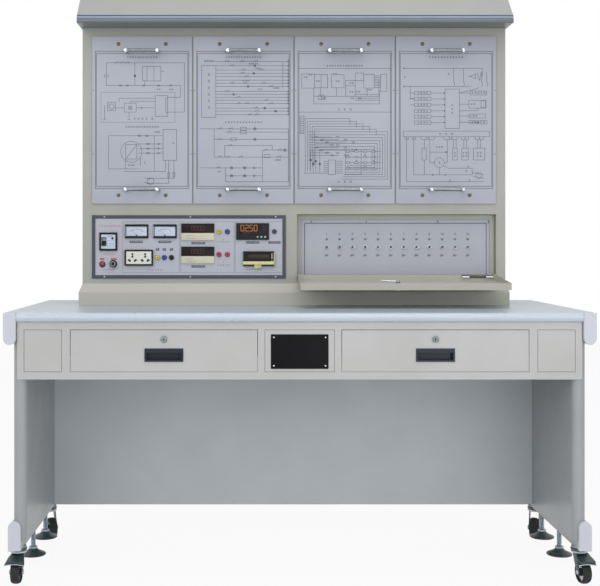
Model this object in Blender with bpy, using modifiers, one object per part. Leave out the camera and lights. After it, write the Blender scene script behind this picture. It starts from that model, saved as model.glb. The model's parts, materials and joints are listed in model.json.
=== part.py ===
"""Household appliance training rig: a bench on casters that carries an upright instrument cabinet.

The bench has two side frames, a laminate desk top with a moulded front nose, an apron with two
lockable drawers and a modesty panel. The cabinet has four removable diagram panels, an instrument
panel, a recessed board of twelve toggle switches behind a drop-down flap, and a canopy.
Metres, +Z up. The front faces -Y. The origin is on the floor, under the middle of the bench.
"""

import math

import bmesh
import bpy
from mathutils import Matrix, Vector

# Gaps and overlaps shared by the whole rig
SEAT = 0.0003
OVERRUN = 0.010
WELD = 0.001
TURN_GAP = 0.0003
SHEET = 0.002

# Desk top
DESK_WIDTH = 1.600
DESK_DEPTH = 0.700
DESK_HEIGHT = 0.738
BOARD_THICK = 0.025
NOSE_DEPTH = 0.020

# Side frames
RAIL_WIDTH = 0.034
END_CAP_HEIGHT = 0.086
CAP_BEVEL = 0.003
CAP_STEP = 0.0006
LEG_THICK = 0.036
LEG_INSET = 0.024
LEG_SETBACK = 0.1357
LEG_BOTTOM = 0.118
FOOT_BOTTOM = 0.096
FOOT_HEIGHT = 0.079
FOOT_INSET = 0.013
FOOT_CAP_THICK = 0.012

# Apron and modesty panel
APRON_LEG_GAP = 0.012
APRON_HEIGHT = 0.155
APRON_SETBACK = 0.012
APRON_FLANGE = 0.025
FIELD_WIDTH = 0.103
FIELD_EDGE_GAP = 0.018
GROOVE_WIDTH = 0.0016
GROOVE_DEPTH = 0.0008
PLATE_FIELD_WIDTH = 0.190
MODESTY_SETBACK = 0.446
MODESTY_RETURN = 0.022

# Drawers
DRAWER_INNER_GAP = 0.018
DRAWER_OUTER_GAP = 0.022
DRAWER_HEIGHT = 0.115
DRAWER_DROP = 0.020
DRAWER_GAP = 0.0015
DRAWER_DEPTH = 0.380
DRAWER_RETURN = 0.015
TRAY_SIDE_GAP = 0.014
TRAY_HEIGHT = 0.085
TRAY_FLOOR_GAP = 0.008
SLIDE_WIDTH = 0.008
SLIDE_HEIGHT = 0.012
SLIDE_START = 0.020
CHANNEL_REACH = 0.011
CHANNEL_HEADROOM = 0.001
WEB_GAP = 0.001
WEB_TAIL = 0.016

# Drawer pulls and locks
PULL_WIDTH = 0.105
PULL_HEIGHT = 0.036
PULL_RIM = 0.0035
PULL_PROUD = 0.002
PULL_DEPTH = 0.014
PULL_LIP = 0.008
PULL_WALL = 0.0015
PULL_DROP = 0.069
LOCK_DROP = 0.026
LOCK_FACE_RADIUS = 0.0095
LOCK_FACE_THICK = 0.0025
LOCK_BARREL_RADIUS = 0.008
LOCK_CAM_LENGTH = 0.030
LOCK_CAM_WIDTH = 0.012
LOCK_KEY_WIDTH = 0.0012
LOCK_KEY_LENGTH = 0.009
LOCK_KEY_DEPTH = 0.0015

# Casters
CASTER_FRONT_INSET = 0.060
CASTER_REAR_INSET = 0.0343
MOUNT_RADIUS = 0.022
MOUNT_THICK = 0.004
RACE_RADIUS = 0.018
RACE_HEIGHT = 0.004
KINGPIN_RADIUS = 0.005
KINGPIN_HEAD_RADIUS = 0.008
KINGPIN_HEAD_THICK = 0.003
CROWN_RADIUS = 0.021
CROWN_THICK = 0.003
CASTER_TRAIL = 0.026
WHEEL_RADIUS = 0.031
WHEEL_WIDTH = 0.024
WHEEL_HUB_RADIUS = 0.010
CHEEK_GAP = 0.0015
CHEEK_THICK = 0.0025
CHEEK_TOP_HALF = 0.012
CHEEK_BOSS_RADIUS = 0.009
AXLE_RADIUS = 0.004
AXLE_HEAD_RADIUS = 0.0065
AXLE_HEAD_THICK = 0.0025
BRAKE_PIVOT_Y = 0.008
BRAKE_PIVOT_Z = 0.0755
BRAKE_PIN_RADIUS = 0.002
BRAKE_THICK = 0.003
BRAKE_LENGTH = 0.047
BRAKE_DROP = 0.011
BRAKE_HALF_WIDTH = 0.0125
BRAKE_SHOE_LENGTH = 0.008
BRAKE_SHOE_GAP = 0.0025
BRAKE_PEDAL_START = 0.022
BRAKE_PEDAL_WIDTH = 0.044
BRAKE_LIP = 0.005
SWIVEL_ANGLES = {
    "front_left": math.radians(180.0),
    "front_right": math.radians(188.0),
    "rear_left": math.radians(205.0),
    "rear_right": math.radians(159.0),
}

# Levelling feet
LEVELER_SHIFT = 0.007
LEVELER_FRONT_SPACE = 0.170
LEVELER_REAR_SPACE = 0.110
LEVELER_RADIUS = 0.0368
LEVELER_CLEARANCE = 0.024
LEVELER_RIM = 0.003
LEVELER_CONE = 0.015
LEVELER_NUT_RADIUS = 0.011
LEVELER_NUT_THICK = 0.007
LEVELER_STEM_RADIUS = 0.007
LEVELER_ENGAGEMENT = 0.060

# Cabinet shell
CABINET_WIDTH = 1.290
CABINET_DEPTH = 0.284
CABINET_BACK_SETBACK = 0.020
CABINET_TOP_BAND = 0.025
PLINTH_BAND = 0.039
PLINTH_SLOPE = 0.026
PLINTH_SIDE_STEP = 0.010
PLINTH_FRONT_STEP = 0.013
BACK_FLANGE = 0.018
BACK_COVER_MARGIN = 0.006

# Back cover
SLOT_LENGTH = 0.120
SLOT_HEIGHT = 0.005
SLOT_PITCH = 0.016
SLOT_COUNT = 6
SLOT_X = 0.420
SLOT_DROP = 0.115
GLAND_X = 0.520
GLAND_RISE = 0.110
GLAND_RADIUS = 0.012
GLAND_LENGTH = 0.014
GLAND_BORE = 0.005

# Canopy
CANOPY_SIDE_LAP = 0.005
CANOPY_OVERHANG = 0.085
CANOPY_NOSE = 0.018
CANOPY_SLOPE_DEPTH = 0.072
CANOPY_HEIGHT = 0.085
CANOPY_LEDGE = 0.010

# Diagram panels
DIAGRAM_COUNT = 4
DIAGRAM_SIDE_BAND = 0.028
DIAGRAM_GAP = 0.002
DIAGRAM_BAND = 0.034
DIAGRAM_HEIGHT = 0.512
DIAGRAM_THICK = 0.006
DIAGRAM_BEVEL = 0.0008
DIAGRAM_REBATE = 0.020
HANDLE_SPACING = 0.100
HANDLE_STANDOFF = 0.030
HANDLE_ROD_RADIUS = 0.0045
HANDLE_BEND = 0.012
HANDLE_TOP_INSET = 0.049
HANDLE_BOTTOM_INSET = 0.043

# Instrument panel
PANEL_SIDE_BAND = 0.029
PANEL_WIDTH = 0.591
PANEL_RISE = 0.081
PANEL_HEIGHT = 0.193
PANEL_BEZEL = 0.0104
PANEL_BEZEL_THICK = 0.003
PANEL_PLATE_THICK = 0.0015
PANEL_LAP = 0.008
ANALOG_WIDTH = 0.071
ANALOG_HEIGHT = 0.0415
ANALOG_PROUD = 0.006
ANALOG_BACK_RADIUS = 0.016
ANALOG_BACK_DEPTH = 0.030
ANALOG_RIM = 0.003
ANALOG_WELL = 0.003
ANALOG_DROP = 0.049
ANALOG_INSETS = (0.1362, 0.2226)
DIGITAL_WIDTH = 0.100
DIGITAL_HEIGHT = 0.051
DIGITAL_PROUD = 0.004
DIGITAL_BACK_DEPTH = 0.060
DIGITAL_BACK_MARGIN = 0.004
DIGITAL_WINDOW_HEIGHT = 0.026
DIGITAL_RIM = 0.003
DIGITAL_WELL = 0.0015
DIGITAL_INSET = 0.3228
DIGITAL_DROPS = (0.051, 0.1215)
JACK_RADIUS = 0.0077
JACK_PROUD = 0.006
JACK_BORE = 0.002
JACK_BORE_DEPTH = 0.005
JACK_NOSE_RADIUS = 0.0058
JACK_ROW_INSETS = (0.2001, 0.2207, 0.2425)
JACK_ROW_DROP = 0.1289
JACK_PAIR_INSETS = (0.3876, 0.4129)
JACK_PAIR_DROPS = (0.0502, 0.1195)
JACK_SINGLE_INSET = 0.5563
JACK_SINGLE_DROP = 0.0497

# Residual current breaker
BREAKER_WIDTH = 0.054
BREAKER_HEIGHT = 0.055
BREAKER_INSET = 0.0503
BREAKER_DROP = 0.0805
BREAKER_FACE_THICK = 0.005
BREAKER_BACK_MARGIN = 0.002
BREAKER_BACK_DEPTH = 0.055
BREAKER_WELL_WIDTH = 0.012
BREAKER_WELL_HEIGHT = 0.024
BREAKER_WELL_DEPTH = 0.012
BREAKER_WELL_SHIFT = -0.013
BREAKER_LEVER_WIDTH = 0.009
BREAKER_LEVER_THICK = 0.007
BREAKER_LEVER_LENGTH = 0.019
BREAKER_LEVER_TILT = math.radians(22.0)
BREAKER_PIN_RADIUS = 0.003
BREAKER_BUTTON_RADIUS = 0.0035
BREAKER_BUTTON_SHIFT = 0.013
BREAKER_BUTTON_LIFT = 0.010
BREAKER_BUTTON_PROUD = 0.0025
BREAKER_BUTTON_TRAVEL = 0.0018
BREAKER_BUTTON_DEPTH = 0.008

# Fuse cap and indicator lamp
FUSE_INSET = 0.0653
FUSE_DROP = 0.1482
FUSE_RADIUS = 0.0116
FUSE_LENGTH = 0.014
FUSE_NECK_RADIUS = 0.006
FUSE_NECK_LENGTH = 0.020
FUSE_GRIP_TAPER = 0.0016
LAMP_INSET = 0.0319
LAMP_DROP = 0.1495
LAMP_RADIUS = 0.0077
LAMP_RIM = 0.003
LAMP_DOME = 0.005
LAMP_BACK_RADIUS = 0.0055
LAMP_BACK_LENGTH = 0.022

# Power socket
SOCKET_WIDTH = 0.086
SOCKET_HEIGHT = 0.048
SOCKET_INSET = 0.1434
SOCKET_DROP = 0.1294
SOCKET_FACE_THICK = 0.006
SOCKET_BACK_MARGIN = 0.004
SOCKET_BACK_DEPTH = 0.030
SOCKET_INSERT_WIDTH = 0.036
SOCKET_INSERT_HEIGHT = 0.038
SOCKET_INSERT_SHIFT = 0.0195
SOCKET_INSERT_PROUD = 0.001
SOCKET_SLOT_WIDTH = 0.0025
SOCKET_SLOT_HEIGHT = 0.008
SOCKET_SLOT_SPREAD = 0.0075
SOCKET_SLOT_RISE = 0.007
SOCKET_SLOT_DEPTH = 0.012

# Temperature controller
CONTROLLER_WIDTH = 0.100
CONTROLLER_HEIGHT = 0.051
CONTROLLER_INSET = 0.4898
CONTROLLER_DROP = 0.0497
CONTROLLER_FACE_THICK = 0.005
CONTROLLER_BACK_MARGIN = 0.004
CONTROLLER_BACK_DEPTH = 0.075
CONTROLLER_WELL = 0.001
CONTROLLER_RIM = 0.003
KEY_RADIUS = 0.0032
KEY_PITCH = 0.0115
KEY_COUNT = 3
KEY_SHIFT = 0.0155
KEY_DROP = 0.0165
KEY_PROUD = 0.0012
KEY_TRAVEL = 0.001
KEY_DEPTH = 0.0030

# Multi-pin connector
CONNECTOR_WIDTH = 0.094
CONNECTOR_HEIGHT = 0.045
CONNECTOR_INSET = 0.5083
CONNECTOR_DROP = 0.1325
CONNECTOR_FACE_THICK = 0.009
CONNECTOR_BACK_MARGIN = 0.006
CONNECTOR_BACK_DEPTH = 0.022
CONNECTOR_CAVITY_WIDTH = 0.066
CONNECTOR_CAVITY_HEIGHT = 0.014
CONNECTOR_CAVITY_DEPTH = 0.010
CONNECTOR_CAVITY_LIFT = 0.008
CONNECTOR_BAR_HEIGHT = 0.009
CONNECTOR_BAR_PROUD = 0.004
CONNECTOR_BAR_DROP = 0.013

# Switch recess and switch board
RECESS_BAND = 0.034
RECESS_SIDE_BAND = 0.028
RECESS_DROP = 0.009
RECESS_HEIGHT = 0.205
RECESS_DEPTH = 0.028
RECESS_LEDGE = 0.020
BOARD_EDGE_GAP = 0.003
BOARD_PLATE_THICK = 0.002
TOGGLE_COUNT = 12
TOGGLE_SIDE_MARGIN = 0.0873
TOGGLE_RISE = 0.104
TOGGLE_SHIFT = 0.0055
TOGGLE_NUT_RADIUS = 0.006
TOGGLE_NUT_THICK = 0.002
TOGGLE_BUSH_RADIUS = 0.0034
TOGGLE_BUSH_LENGTH = 0.0055
TOGGLE_BORE_RADIUS = 0.0025
TOGGLE_PIVOT_DEPTH = 0.0025
TOGGLE_BALL_RADIUS = 0.0020
TOGGLE_NECK_RADIUS = 0.0012
TOGGLE_TIP_RADIUS = 0.0024
TOGGLE_LENGTH = 0.0125
TOGGLE_TILT = math.radians(12.0)

# Drop-down flap with its hinges and latch
FLAP_SIDE_GAP = 0.002
FLAP_BOTTOM_GAP = 0.0015
FLAP_TOP_GAP = 0.0025
FLAP_RIM = 0.020
FLAP_SHEET = 0.0015
FLAP_OPEN_ANGLE = math.radians(95.5)
HINGE_RADIUS = 0.0032
HINGE_PIN_RADIUS = 0.0013
HINGE_KNUCKLE = 0.032
HINGE_LEAF = 0.015
HINGE_LEAF_THICK = 0.0012
HINGE_INSET = 0.058
LATCH_SHIFT = -0.020
LATCH_TOP_INSET = 0.030
LATCH_RADIUS = 0.008
LATCH_KNOB_RADIUS = 0.011
LATCH_KNOB_THICK = 0.003
LATCH_ARM_LENGTH = 0.045
LATCH_ARM_WIDTH = 0.012
LATCH_ARM_THICK = 0.002
LATCH_CLEARANCE = 0.0005
LATCH_SLOT_MARGIN = 0.003

# Round forms
FINE_SIDES = 20
ROUND_SIDES = 16
SMALL_SIDES = 10
TINY_SIDES = 8

# Places that follow from the sizes above
DESK_FRONT_Y = -DESK_DEPTH / 2
DESK_BACK_Y = DESK_DEPTH / 2
BOARD_FRONT_Y = DESK_FRONT_Y + NOSE_DEPTH
BOARD_UNDER_Z = DESK_HEIGHT - BOARD_THICK
CARRY_TOP_Z = BOARD_UNDER_Z - SEAT
RAIL_BOTTOM_Z = DESK_HEIGHT - END_CAP_HEIGHT
RAIL_OUTER_X = DESK_WIDTH / 2
LEG_OUTER_X = RAIL_OUTER_X - LEG_INSET
LEG_INNER_X = LEG_OUTER_X - LEG_THICK
APRON_Y = DESK_FRONT_Y + APRON_SETBACK
APRON_BACK_Y = APRON_Y + SHEET
APRON_BOTTOM_Z = CARRY_TOP_Z - APRON_HEIGHT
APRON_HALF_WIDTH = LEG_OUTER_X - APRON_LEG_GAP
LEG_FRONT_Y = APRON_BACK_Y + SEAT
LEG_BACK_Y = DESK_BACK_Y - LEG_SETBACK
MODESTY_Y = DESK_FRONT_Y + MODESTY_SETBACK
FOOT_OUTER_X = RAIL_OUTER_X - FOOT_INSET
FOOT_X = FOOT_OUTER_X - RAIL_WIDTH / 2
CASTER_FRONT_Y = DESK_FRONT_Y + CASTER_FRONT_INSET
CASTER_REAR_Y = LEG_BACK_Y - CASTER_REAR_INSET
LEVELER_X = FOOT_X - LEVELER_SHIFT
LEVELER_FRONT_Y = CASTER_FRONT_Y + LEVELER_FRONT_SPACE
LEVELER_REAR_Y = CASTER_REAR_Y - LEVELER_REAR_SPACE
DRAWER_WIDTH = (APRON_HALF_WIDTH - PLATE_FIELD_WIDTH / 2 - DRAWER_INNER_GAP - DRAWER_OUTER_GAP
                - FIELD_WIDTH - FIELD_EDGE_GAP)
DRAWER_CENTRE_X = PLATE_FIELD_WIDTH / 2 + DRAWER_INNER_GAP + DRAWER_WIDTH / 2
DRAWER_TOP_Z = CARRY_TOP_Z - DRAWER_DROP
DRAWER_BOTTOM_Z = DRAWER_TOP_Z - DRAWER_HEIGHT
TRAY_HALF_WIDTH = DRAWER_WIDTH / 2 - TRAY_SIDE_GAP
TRAY_BOTTOM_Z = DRAWER_BOTTOM_Z + TRAY_FLOOR_GAP
TRAY_TOP_Z = TRAY_BOTTOM_Z + TRAY_HEIGHT
TRAY_BACK_Y = APRON_BACK_Y + DRAWER_DEPTH
SLIDE_Z = (TRAY_BOTTOM_Z + TRAY_TOP_Z) / 2
SLIDE_FRONT_Y = APRON_Y + SLIDE_START
CASTER_RACE_Z = FOOT_BOTTOM - MOUNT_THICK - RACE_HEIGHT
CROWN_TOP_Z = CASTER_RACE_Z - SEAT
CROWN_BOTTOM_Z = CROWN_TOP_Z - CROWN_THICK
CHEEK_INNER_X = WHEEL_WIDTH / 2 + CHEEK_GAP
CHEEK_OUTER_X = CHEEK_INNER_X + CHEEK_THICK
CABINET_HALF = CABINET_WIDTH / 2
CABINET_BACK_Y = DESK_BACK_Y - CABINET_BACK_SETBACK
CABINET_FRONT_Y = CABINET_BACK_Y - CABINET_DEPTH
CABINET_BOTTOM_Z = DESK_HEIGHT + SEAT
PLINTH_TOP_Z = CABINET_BOTTOM_Z + PLINTH_BAND
BODY_BOTTOM_Z = PLINTH_TOP_Z + PLINTH_SLOPE
PANEL_BOTTOM_Z = DESK_HEIGHT + PANEL_RISE
PANEL_TOP_Z = PANEL_BOTTOM_Z + PANEL_HEIGHT
DIAGRAM_BOTTOM_Z = PANEL_TOP_Z + DIAGRAM_BAND
CABINET_TOP_Z = DIAGRAM_BOTTOM_Z + DIAGRAM_HEIGHT + CABINET_TOP_BAND
RIG_HEIGHT = CABINET_TOP_Z + CANOPY_HEIGHT
SLOT_TOP_Z = CABINET_TOP_Z - SLOT_DROP
GLAND_Z = DESK_HEIGHT + GLAND_RISE
DIAGRAM_PITCH = (CABINET_WIDTH - DIAGRAM_SIDE_BAND * 2) / DIAGRAM_COUNT
PANEL_LEFT_X = PANEL_SIDE_BAND - CABINET_HALF
PANEL_RIGHT_X = PANEL_LEFT_X + PANEL_WIDTH
PANEL_BACK_Y = CABINET_FRONT_Y - SEAT
PANEL_BEZEL_Y = PANEL_BACK_Y - PANEL_BEZEL_THICK
PANEL_FACE_Y = PANEL_BACK_Y - PANEL_PLATE_THICK
RECESS_LEFT_X = PANEL_RIGHT_X + RECESS_BAND
RECESS_RIGHT_X = CABINET_HALF - RECESS_SIDE_BAND
RECESS_WIDTH = RECESS_RIGHT_X - RECESS_LEFT_X
RECESS_CENTRE_X = RECESS_LEFT_X + RECESS_WIDTH / 2
RECESS_BOTTOM_Z = PANEL_BOTTOM_Z - RECESS_DROP
RECESS_TOP_Z = RECESS_BOTTOM_Z + RECESS_HEIGHT
TOGGLE_PITCH = (RECESS_WIDTH - TOGGLE_SIDE_MARGIN * 2) / (TOGGLE_COUNT - 1)
TOGGLE_Z = RECESS_BOTTOM_Z + TOGGLE_RISE
RECESS_FLOOR_Y = CABINET_FRONT_Y + RECESS_DEPTH
SWITCH_FACE_Y = RECESS_FLOOR_Y - SEAT - BOARD_PLATE_THICK
FLAP_BOTTOM_Z = RECESS_BOTTOM_Z + FLAP_BOTTOM_GAP
FLAP_TOP_Z = RECESS_TOP_Z - FLAP_TOP_GAP
HINGE_Y = CABINET_FRONT_Y - HINGE_RADIUS - SEAT
HINGE_Z = FLAP_BOTTOM_Z - HINGE_RADIUS - SEAT
LATCH_X = RECESS_CENTRE_X + LATCH_SHIFT
LATCH_Z = FLAP_TOP_Z - LATCH_TOP_INSET
LATCH_ARM_Y = CABINET_FRONT_Y + FLAP_RIM + LATCH_CLEARANCE


def clear_scene():
    """Removes whatever the scene holds, so that the rig stands alone."""
    for old in list(bpy.data.objects):
        bpy.data.objects.remove(old, do_unlink=True)


def new_collection(name):
    """A collection of this name, linked to the scene."""
    collection = bpy.data.collections.new(name)
    bpy.context.scene.collection.children.link(collection)
    return collection


clear_scene()
RIG = new_collection("appliance_training_rig")
TOOLS = new_collection("cutting_tools")


def finish(name, color, roughness, metallic=0.0):
    """A Principled material."""
    material = bpy.data.materials.new(name)
    material.use_nodes = True
    shader = material.node_tree.nodes["Principled BSDF"]
    shader.inputs["Base Color"].default_value = (*color, 1.0)
    shader.inputs["Roughness"].default_value = roughness
    shader.inputs["Metallic"].default_value = metallic
    return material


BEIGE_ENAMEL = finish("beige_enamel", (0.56, 0.56, 0.50), 0.45)
GREY_LAMINATE = finish("grey_laminate", (0.36, 0.42, 0.45), 0.35)
PALE_NOSE = finish("pale_nose", (0.60, 0.68, 0.78), 0.30)
PALE_PRINT = finish("pale_print", (0.52, 0.53, 0.60), 0.50)
SLATE_BEZEL = finish("slate_bezel", (0.05, 0.07, 0.11), 0.45)
BLACK_PLASTIC = finish("black_plastic", (0.02, 0.02, 0.025), 0.40)
NAVY_PLASTIC = finish("navy_plastic", (0.03, 0.04, 0.07), 0.40)
WHITE_PLASTIC = finish("white_plastic", (0.80, 0.80, 0.76), 0.40)
RED_LENS = finish("red_lens", (0.60, 0.02, 0.02), 0.20)
CHROME = finish("chrome", (0.75, 0.76, 0.78), 0.15, 1.0)
ZINC = finish("zinc", (0.35, 0.40, 0.42), 0.35, 1.0)
DARK_RUBBER = finish("dark_rubber", (0.03, 0.03, 0.03), 0.70)


def place(name, mesh, material, pivot=(0.0, 0.0, 0.0)):
    """An object whose mesh is given in rig coordinates and whose origin is the pivot."""
    pivot = Vector(pivot)
    mesh.name = name
    mesh.transform(Matrix.Translation(-pivot))
    mesh.materials.clear()
    mesh.materials.append(material)
    item = bpy.data.objects.new(name, mesh)
    item.location = pivot
    RIG.objects.link(item)
    return item


def from_bmesh(shape):
    """A mesh made from a bmesh, which is freed."""
    bmesh.ops.recalc_face_normals(shape, faces=shape.faces)
    mesh = bpy.data.meshes.new("shape")
    shape.to_mesh(mesh)
    shape.free()
    return mesh


def evaluated(item, weld=SEAT / 100):
    """The object's evaluated shape as a welded mesh in rig coordinates; the object is removed."""
    bpy.context.view_layer.update()
    graph = bpy.context.evaluated_depsgraph_get()
    raw = bpy.data.meshes.new_from_object(item.evaluated_get(graph))
    raw.transform(item.matrix_world)
    shape = bmesh.new()
    shape.from_mesh(raw)
    bmesh.ops.remove_doubles(shape, verts=shape.verts, dist=weld)
    bpy.data.objects.remove(item, do_unlink=True)
    return from_bmesh(shape)


def box_mesh(x, y, z, bevel=0.0, segments=2):
    """A box between pairs of X, Y and Z, with its edges rounded by the bevel."""
    shape = bmesh.new()
    bmesh.ops.create_cube(shape, size=1.0)
    spans = [abs(pair[1] - pair[0]) for pair in (x, y, z)]
    middle = [(pair[1] + pair[0]) / 2 for pair in (x, y, z)]
    bmesh.ops.scale(shape, vec=spans, verts=shape.verts)
    bmesh.ops.translate(shape, vec=middle, verts=shape.verts)
    if bevel > 0.0:
        bmesh.ops.bevel(shape, geom=list(shape.edges), offset=bevel, segments=segments,
                        profile=0.5, affect="EDGES")
    return from_bmesh(shape)


def axis_matrix(axis, centre):
    """Takes a shape's own Z to the named axis, and its origin to the centre."""
    turns = {
        "X": Matrix.Rotation(math.pi / 2, 4, "Y"),
        "Y": Matrix.Rotation(-math.pi / 2, 4, "X"),
        "Z": Matrix.Identity(4),
    }
    return Matrix.Translation(Vector(centre)) @ turns[axis]


def rod_mesh(axis, centre, radius, start, end, sides=ROUND_SIDES):
    """A cylinder along an axis through the centre, from start to end measured from it."""
    shape = bmesh.new()
    bmesh.ops.create_cone(shape, cap_ends=True, segments=sides, radius1=radius, radius2=radius,
                          depth=end - start)
    bmesh.ops.translate(shape, vec=(0, 0, (start + end) / 2), verts=shape.verts)
    mesh = from_bmesh(shape)
    mesh.transform(axis_matrix(axis, centre))
    return mesh


def turned_mesh(profile, axis, centre, sides=ROUND_SIDES, closed=False):
    """A profile of (radius, height) points from top to bottom, turned round an axis by a Screw."""
    points = [(radius, 0.0, height) for radius, height in profile]
    edges = [(i, i + 1) for i in range(len(points) - 1)]
    if closed:
        edges.append((len(points) - 1, 0))
    mesh = bpy.data.meshes.new("profile")
    mesh.from_pydata(points, edges, [])
    item = bpy.data.objects.new("profile", mesh)
    RIG.objects.link(item)
    screw = item.modifiers.new("turn", "SCREW")
    screw.steps = sides
    screw.render_steps = sides
    screw.use_merge_vertices = True
    screw.merge_threshold = SEAT / 100
    item.matrix_world = axis_matrix(axis, centre)
    return evaluated(item)


def prism_mesh(outline, axis, start, end):
    """A flat outline extruded along an axis.

    The outline's two values are (Y, Z) for axis X, (X, Z) for axis Y and (X, Y) for axis Z.
    """
    curve = bpy.data.curves.new("outline", "CURVE")
    curve.dimensions = "2D"
    curve.fill_mode = "BOTH"
    curve.extrude = (end - start) / 2
    spline = curve.splines.new("POLY")
    spline.points.add(len(outline) - 1)
    for point, (u, v) in zip(spline.points, outline):
        point.co = (u, v, 0.0, 1.0)
    spline.use_cyclic_u = True
    item = bpy.data.objects.new("outline", curve)
    RIG.objects.link(item)
    frames = {
        "X": Matrix(((0, 0, 1, 0), (1, 0, 0, 0), (0, 1, 0, 0), (0, 0, 0, 1))),
        "Y": Matrix(((1, 0, 0, 0), (0, 0, -1, 0), (0, 1, 0, 0), (0, 0, 0, 1))),
        "Z": Matrix.Identity(4),
    }
    lift = {"X": (1, 0, 0), "Y": (0, 1, 0), "Z": (0, 0, 1)}[axis]
    middle = Vector(lift) * ((start + end) / 2)
    item.matrix_world = Matrix.Translation(middle) @ frames[axis]
    return evaluated(item)


def tube_mesh(points, radius, resolution=2):
    """A round rod along a chain of points, with flat ends."""
    curve = bpy.data.curves.new("rod", "CURVE")
    curve.dimensions = "3D"
    curve.bevel_depth = radius
    curve.bevel_resolution = resolution
    curve.use_fill_caps = True
    spline = curve.splines.new("POLY")
    spline.points.add(len(points) - 1)
    for point, place_of in zip(spline.points, points):
        point.co = (*place_of, 1.0)
    item = bpy.data.objects.new("rod", curve)
    RIG.objects.link(item)
    return evaluated(item)


def loft_mesh(rings):
    """A solid through rectangular rings, each (half width, front Y, back Y, Z), bottom to top."""
    shape = bmesh.new()
    loops = []
    for half, front, back, height in rings:
        corners = ((-half, front), (half, front), (half, back), (-half, back))
        loops.append([shape.verts.new((x, y, height)) for x, y in corners])
    for low, high in zip(loops, loops[1:]):
        for i in range(len(low)):
            j = (i + 1) % len(low)
            shape.faces.new((low[i], low[j], high[j], high[i]))
    shape.faces.new(loops[0])
    shape.faces.new(loops[-1])
    return from_bmesh(shape)


def arc(centre, radius, start, end, steps):
    """Points on a circle from one angle to another, in radians."""
    turn = (end - start) / steps
    return [(centre[0] + radius * math.cos(start + turn * i),
             centre[1] + radius * math.sin(start + turn * i)) for i in range(steps + 1)]


def tool(mesh, target):
    """Keeps a mesh as a hidden tool that moves with its target."""
    item = bpy.data.objects.new(f"{target.name}_tool", mesh)
    item.hide_render = True
    item.display_type = "WIRE"
    item.parent = target
    item.matrix_parent_inverse = target.matrix_basis.inverted()
    TOOLS.objects.link(item)
    return item


def combine(target, mesh, operation):
    """Adds a Boolean modifier that joins or cuts the target with a mesh in rig coordinates."""
    modifier = target.modifiers.new(operation.lower(), "BOOLEAN")
    modifier.operation = operation
    modifier.solver = "EXACT"
    modifier.object = tool(mesh, target)


def join(target, *meshes):
    """Fuses meshes to the target."""
    for mesh in meshes:
        combine(target, mesh, "UNION")


def cut(target, *meshes):
    """Cuts meshes out of the target."""
    for mesh in meshes:
        combine(target, mesh, "DIFFERENCE")


def side_span(side, inner, outer):
    """A pair of X values on the left (-1) or right (+1) side, in rising order."""
    return tuple(sorted((side * inner, side * outer)))


def build_desk_top():
    """The laminate board and the moulded nose along its front edge."""
    place("desk_top", box_mesh(
        (-DESK_WIDTH / 2, DESK_WIDTH / 2),
        (BOARD_FRONT_Y + SEAT, DESK_BACK_Y),
        (BOARD_UNDER_Z, DESK_HEIGHT),
    ), GREY_LAMINATE)
    half = BOARD_THICK / 2
    middle_z = BOARD_UNDER_Z + half
    outline = [(BOARD_FRONT_Y, BOARD_UNDER_Z), (BOARD_FRONT_Y, DESK_HEIGHT)]
    outline += arc((DESK_FRONT_Y + half, middle_z), half, math.pi / 2, math.pi * 3 / 2, 8)
    reach = DESK_WIDTH / 2 - RAIL_WIDTH - SEAT
    place("desk_front_nose", prism_mesh(outline, "X", -reach, reach), PALE_NOSE)


def rail_outline(side, outer_x, bottom_z, top_z, round_bottom, step=0.0):
    """A rail's (X, Z) section, flat at one end and half round at the other, drawn in by the step."""
    radius = RAIL_WIDTH / 2 - step
    middle = side * (outer_x - radius - step)
    if round_bottom:
        curve = arc((middle, bottom_z + radius), radius, -math.pi, 0.0, 10)
        return curve + [(middle + radius, top_z), (middle - radius, top_z)]
    curve = arc((middle, top_z - radius), radius, 0.0, math.pi, 10)
    return curve + [(middle - radius, bottom_z), (middle + radius, bottom_z)]


def leg_plan(side, step):
    """A leg panel's (X, Y) plan with half-round edges, drawn in by the step."""
    middle = side * (LEG_INNER_X + LEG_THICK / 2)
    radius = LEG_THICK / 2 - step
    front = LEG_FRONT_Y + LEG_THICK / 2
    back = LEG_BACK_Y - LEG_THICK / 2
    plan = arc((middle, front), radius, -math.pi, 0.0, 8)
    return plan + arc((middle, back), radius, 0.0, math.pi, 8)


def cap_mesh(outline, front_y, back_y):
    """A moulded end cap over a rail's section, with its outer edges softened."""
    raw = prism_mesh(outline, "Y", front_y, back_y)
    item = bpy.data.objects.new("cap", raw)
    RIG.objects.link(item)
    bevel = item.modifiers.new("soft_edges", "BEVEL")
    bevel.width = CAP_BEVEL
    bevel.segments = 1
    bevel.limit_method = "ANGLE"
    bevel.angle_limit = math.radians(60.0)
    return evaluated(item)


def caster_mount_mesh(x, y):
    """Top plate, ball race and headed kingpin of a caster, turned as one profile."""
    head_top = CROWN_BOTTOM_Z - SEAT
    profile = [
        (0.0, FOOT_BOTTOM + WELD),
        (MOUNT_RADIUS, FOOT_BOTTOM + WELD),
        (MOUNT_RADIUS, FOOT_BOTTOM - MOUNT_THICK),
        (RACE_RADIUS, FOOT_BOTTOM - MOUNT_THICK),
        (RACE_RADIUS - RACE_HEIGHT / 2, CASTER_RACE_Z),
        (KINGPIN_RADIUS, CASTER_RACE_Z),
        (KINGPIN_RADIUS, head_top),
        (KINGPIN_HEAD_RADIUS, head_top),
        (KINGPIN_HEAD_RADIUS, head_top - KINGPIN_HEAD_THICK),
        (0.0, head_top - KINGPIN_HEAD_THICK),
    ]
    return turned_mesh(profile, "Z", (x, y, 0.0), SMALL_SIDES)


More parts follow.
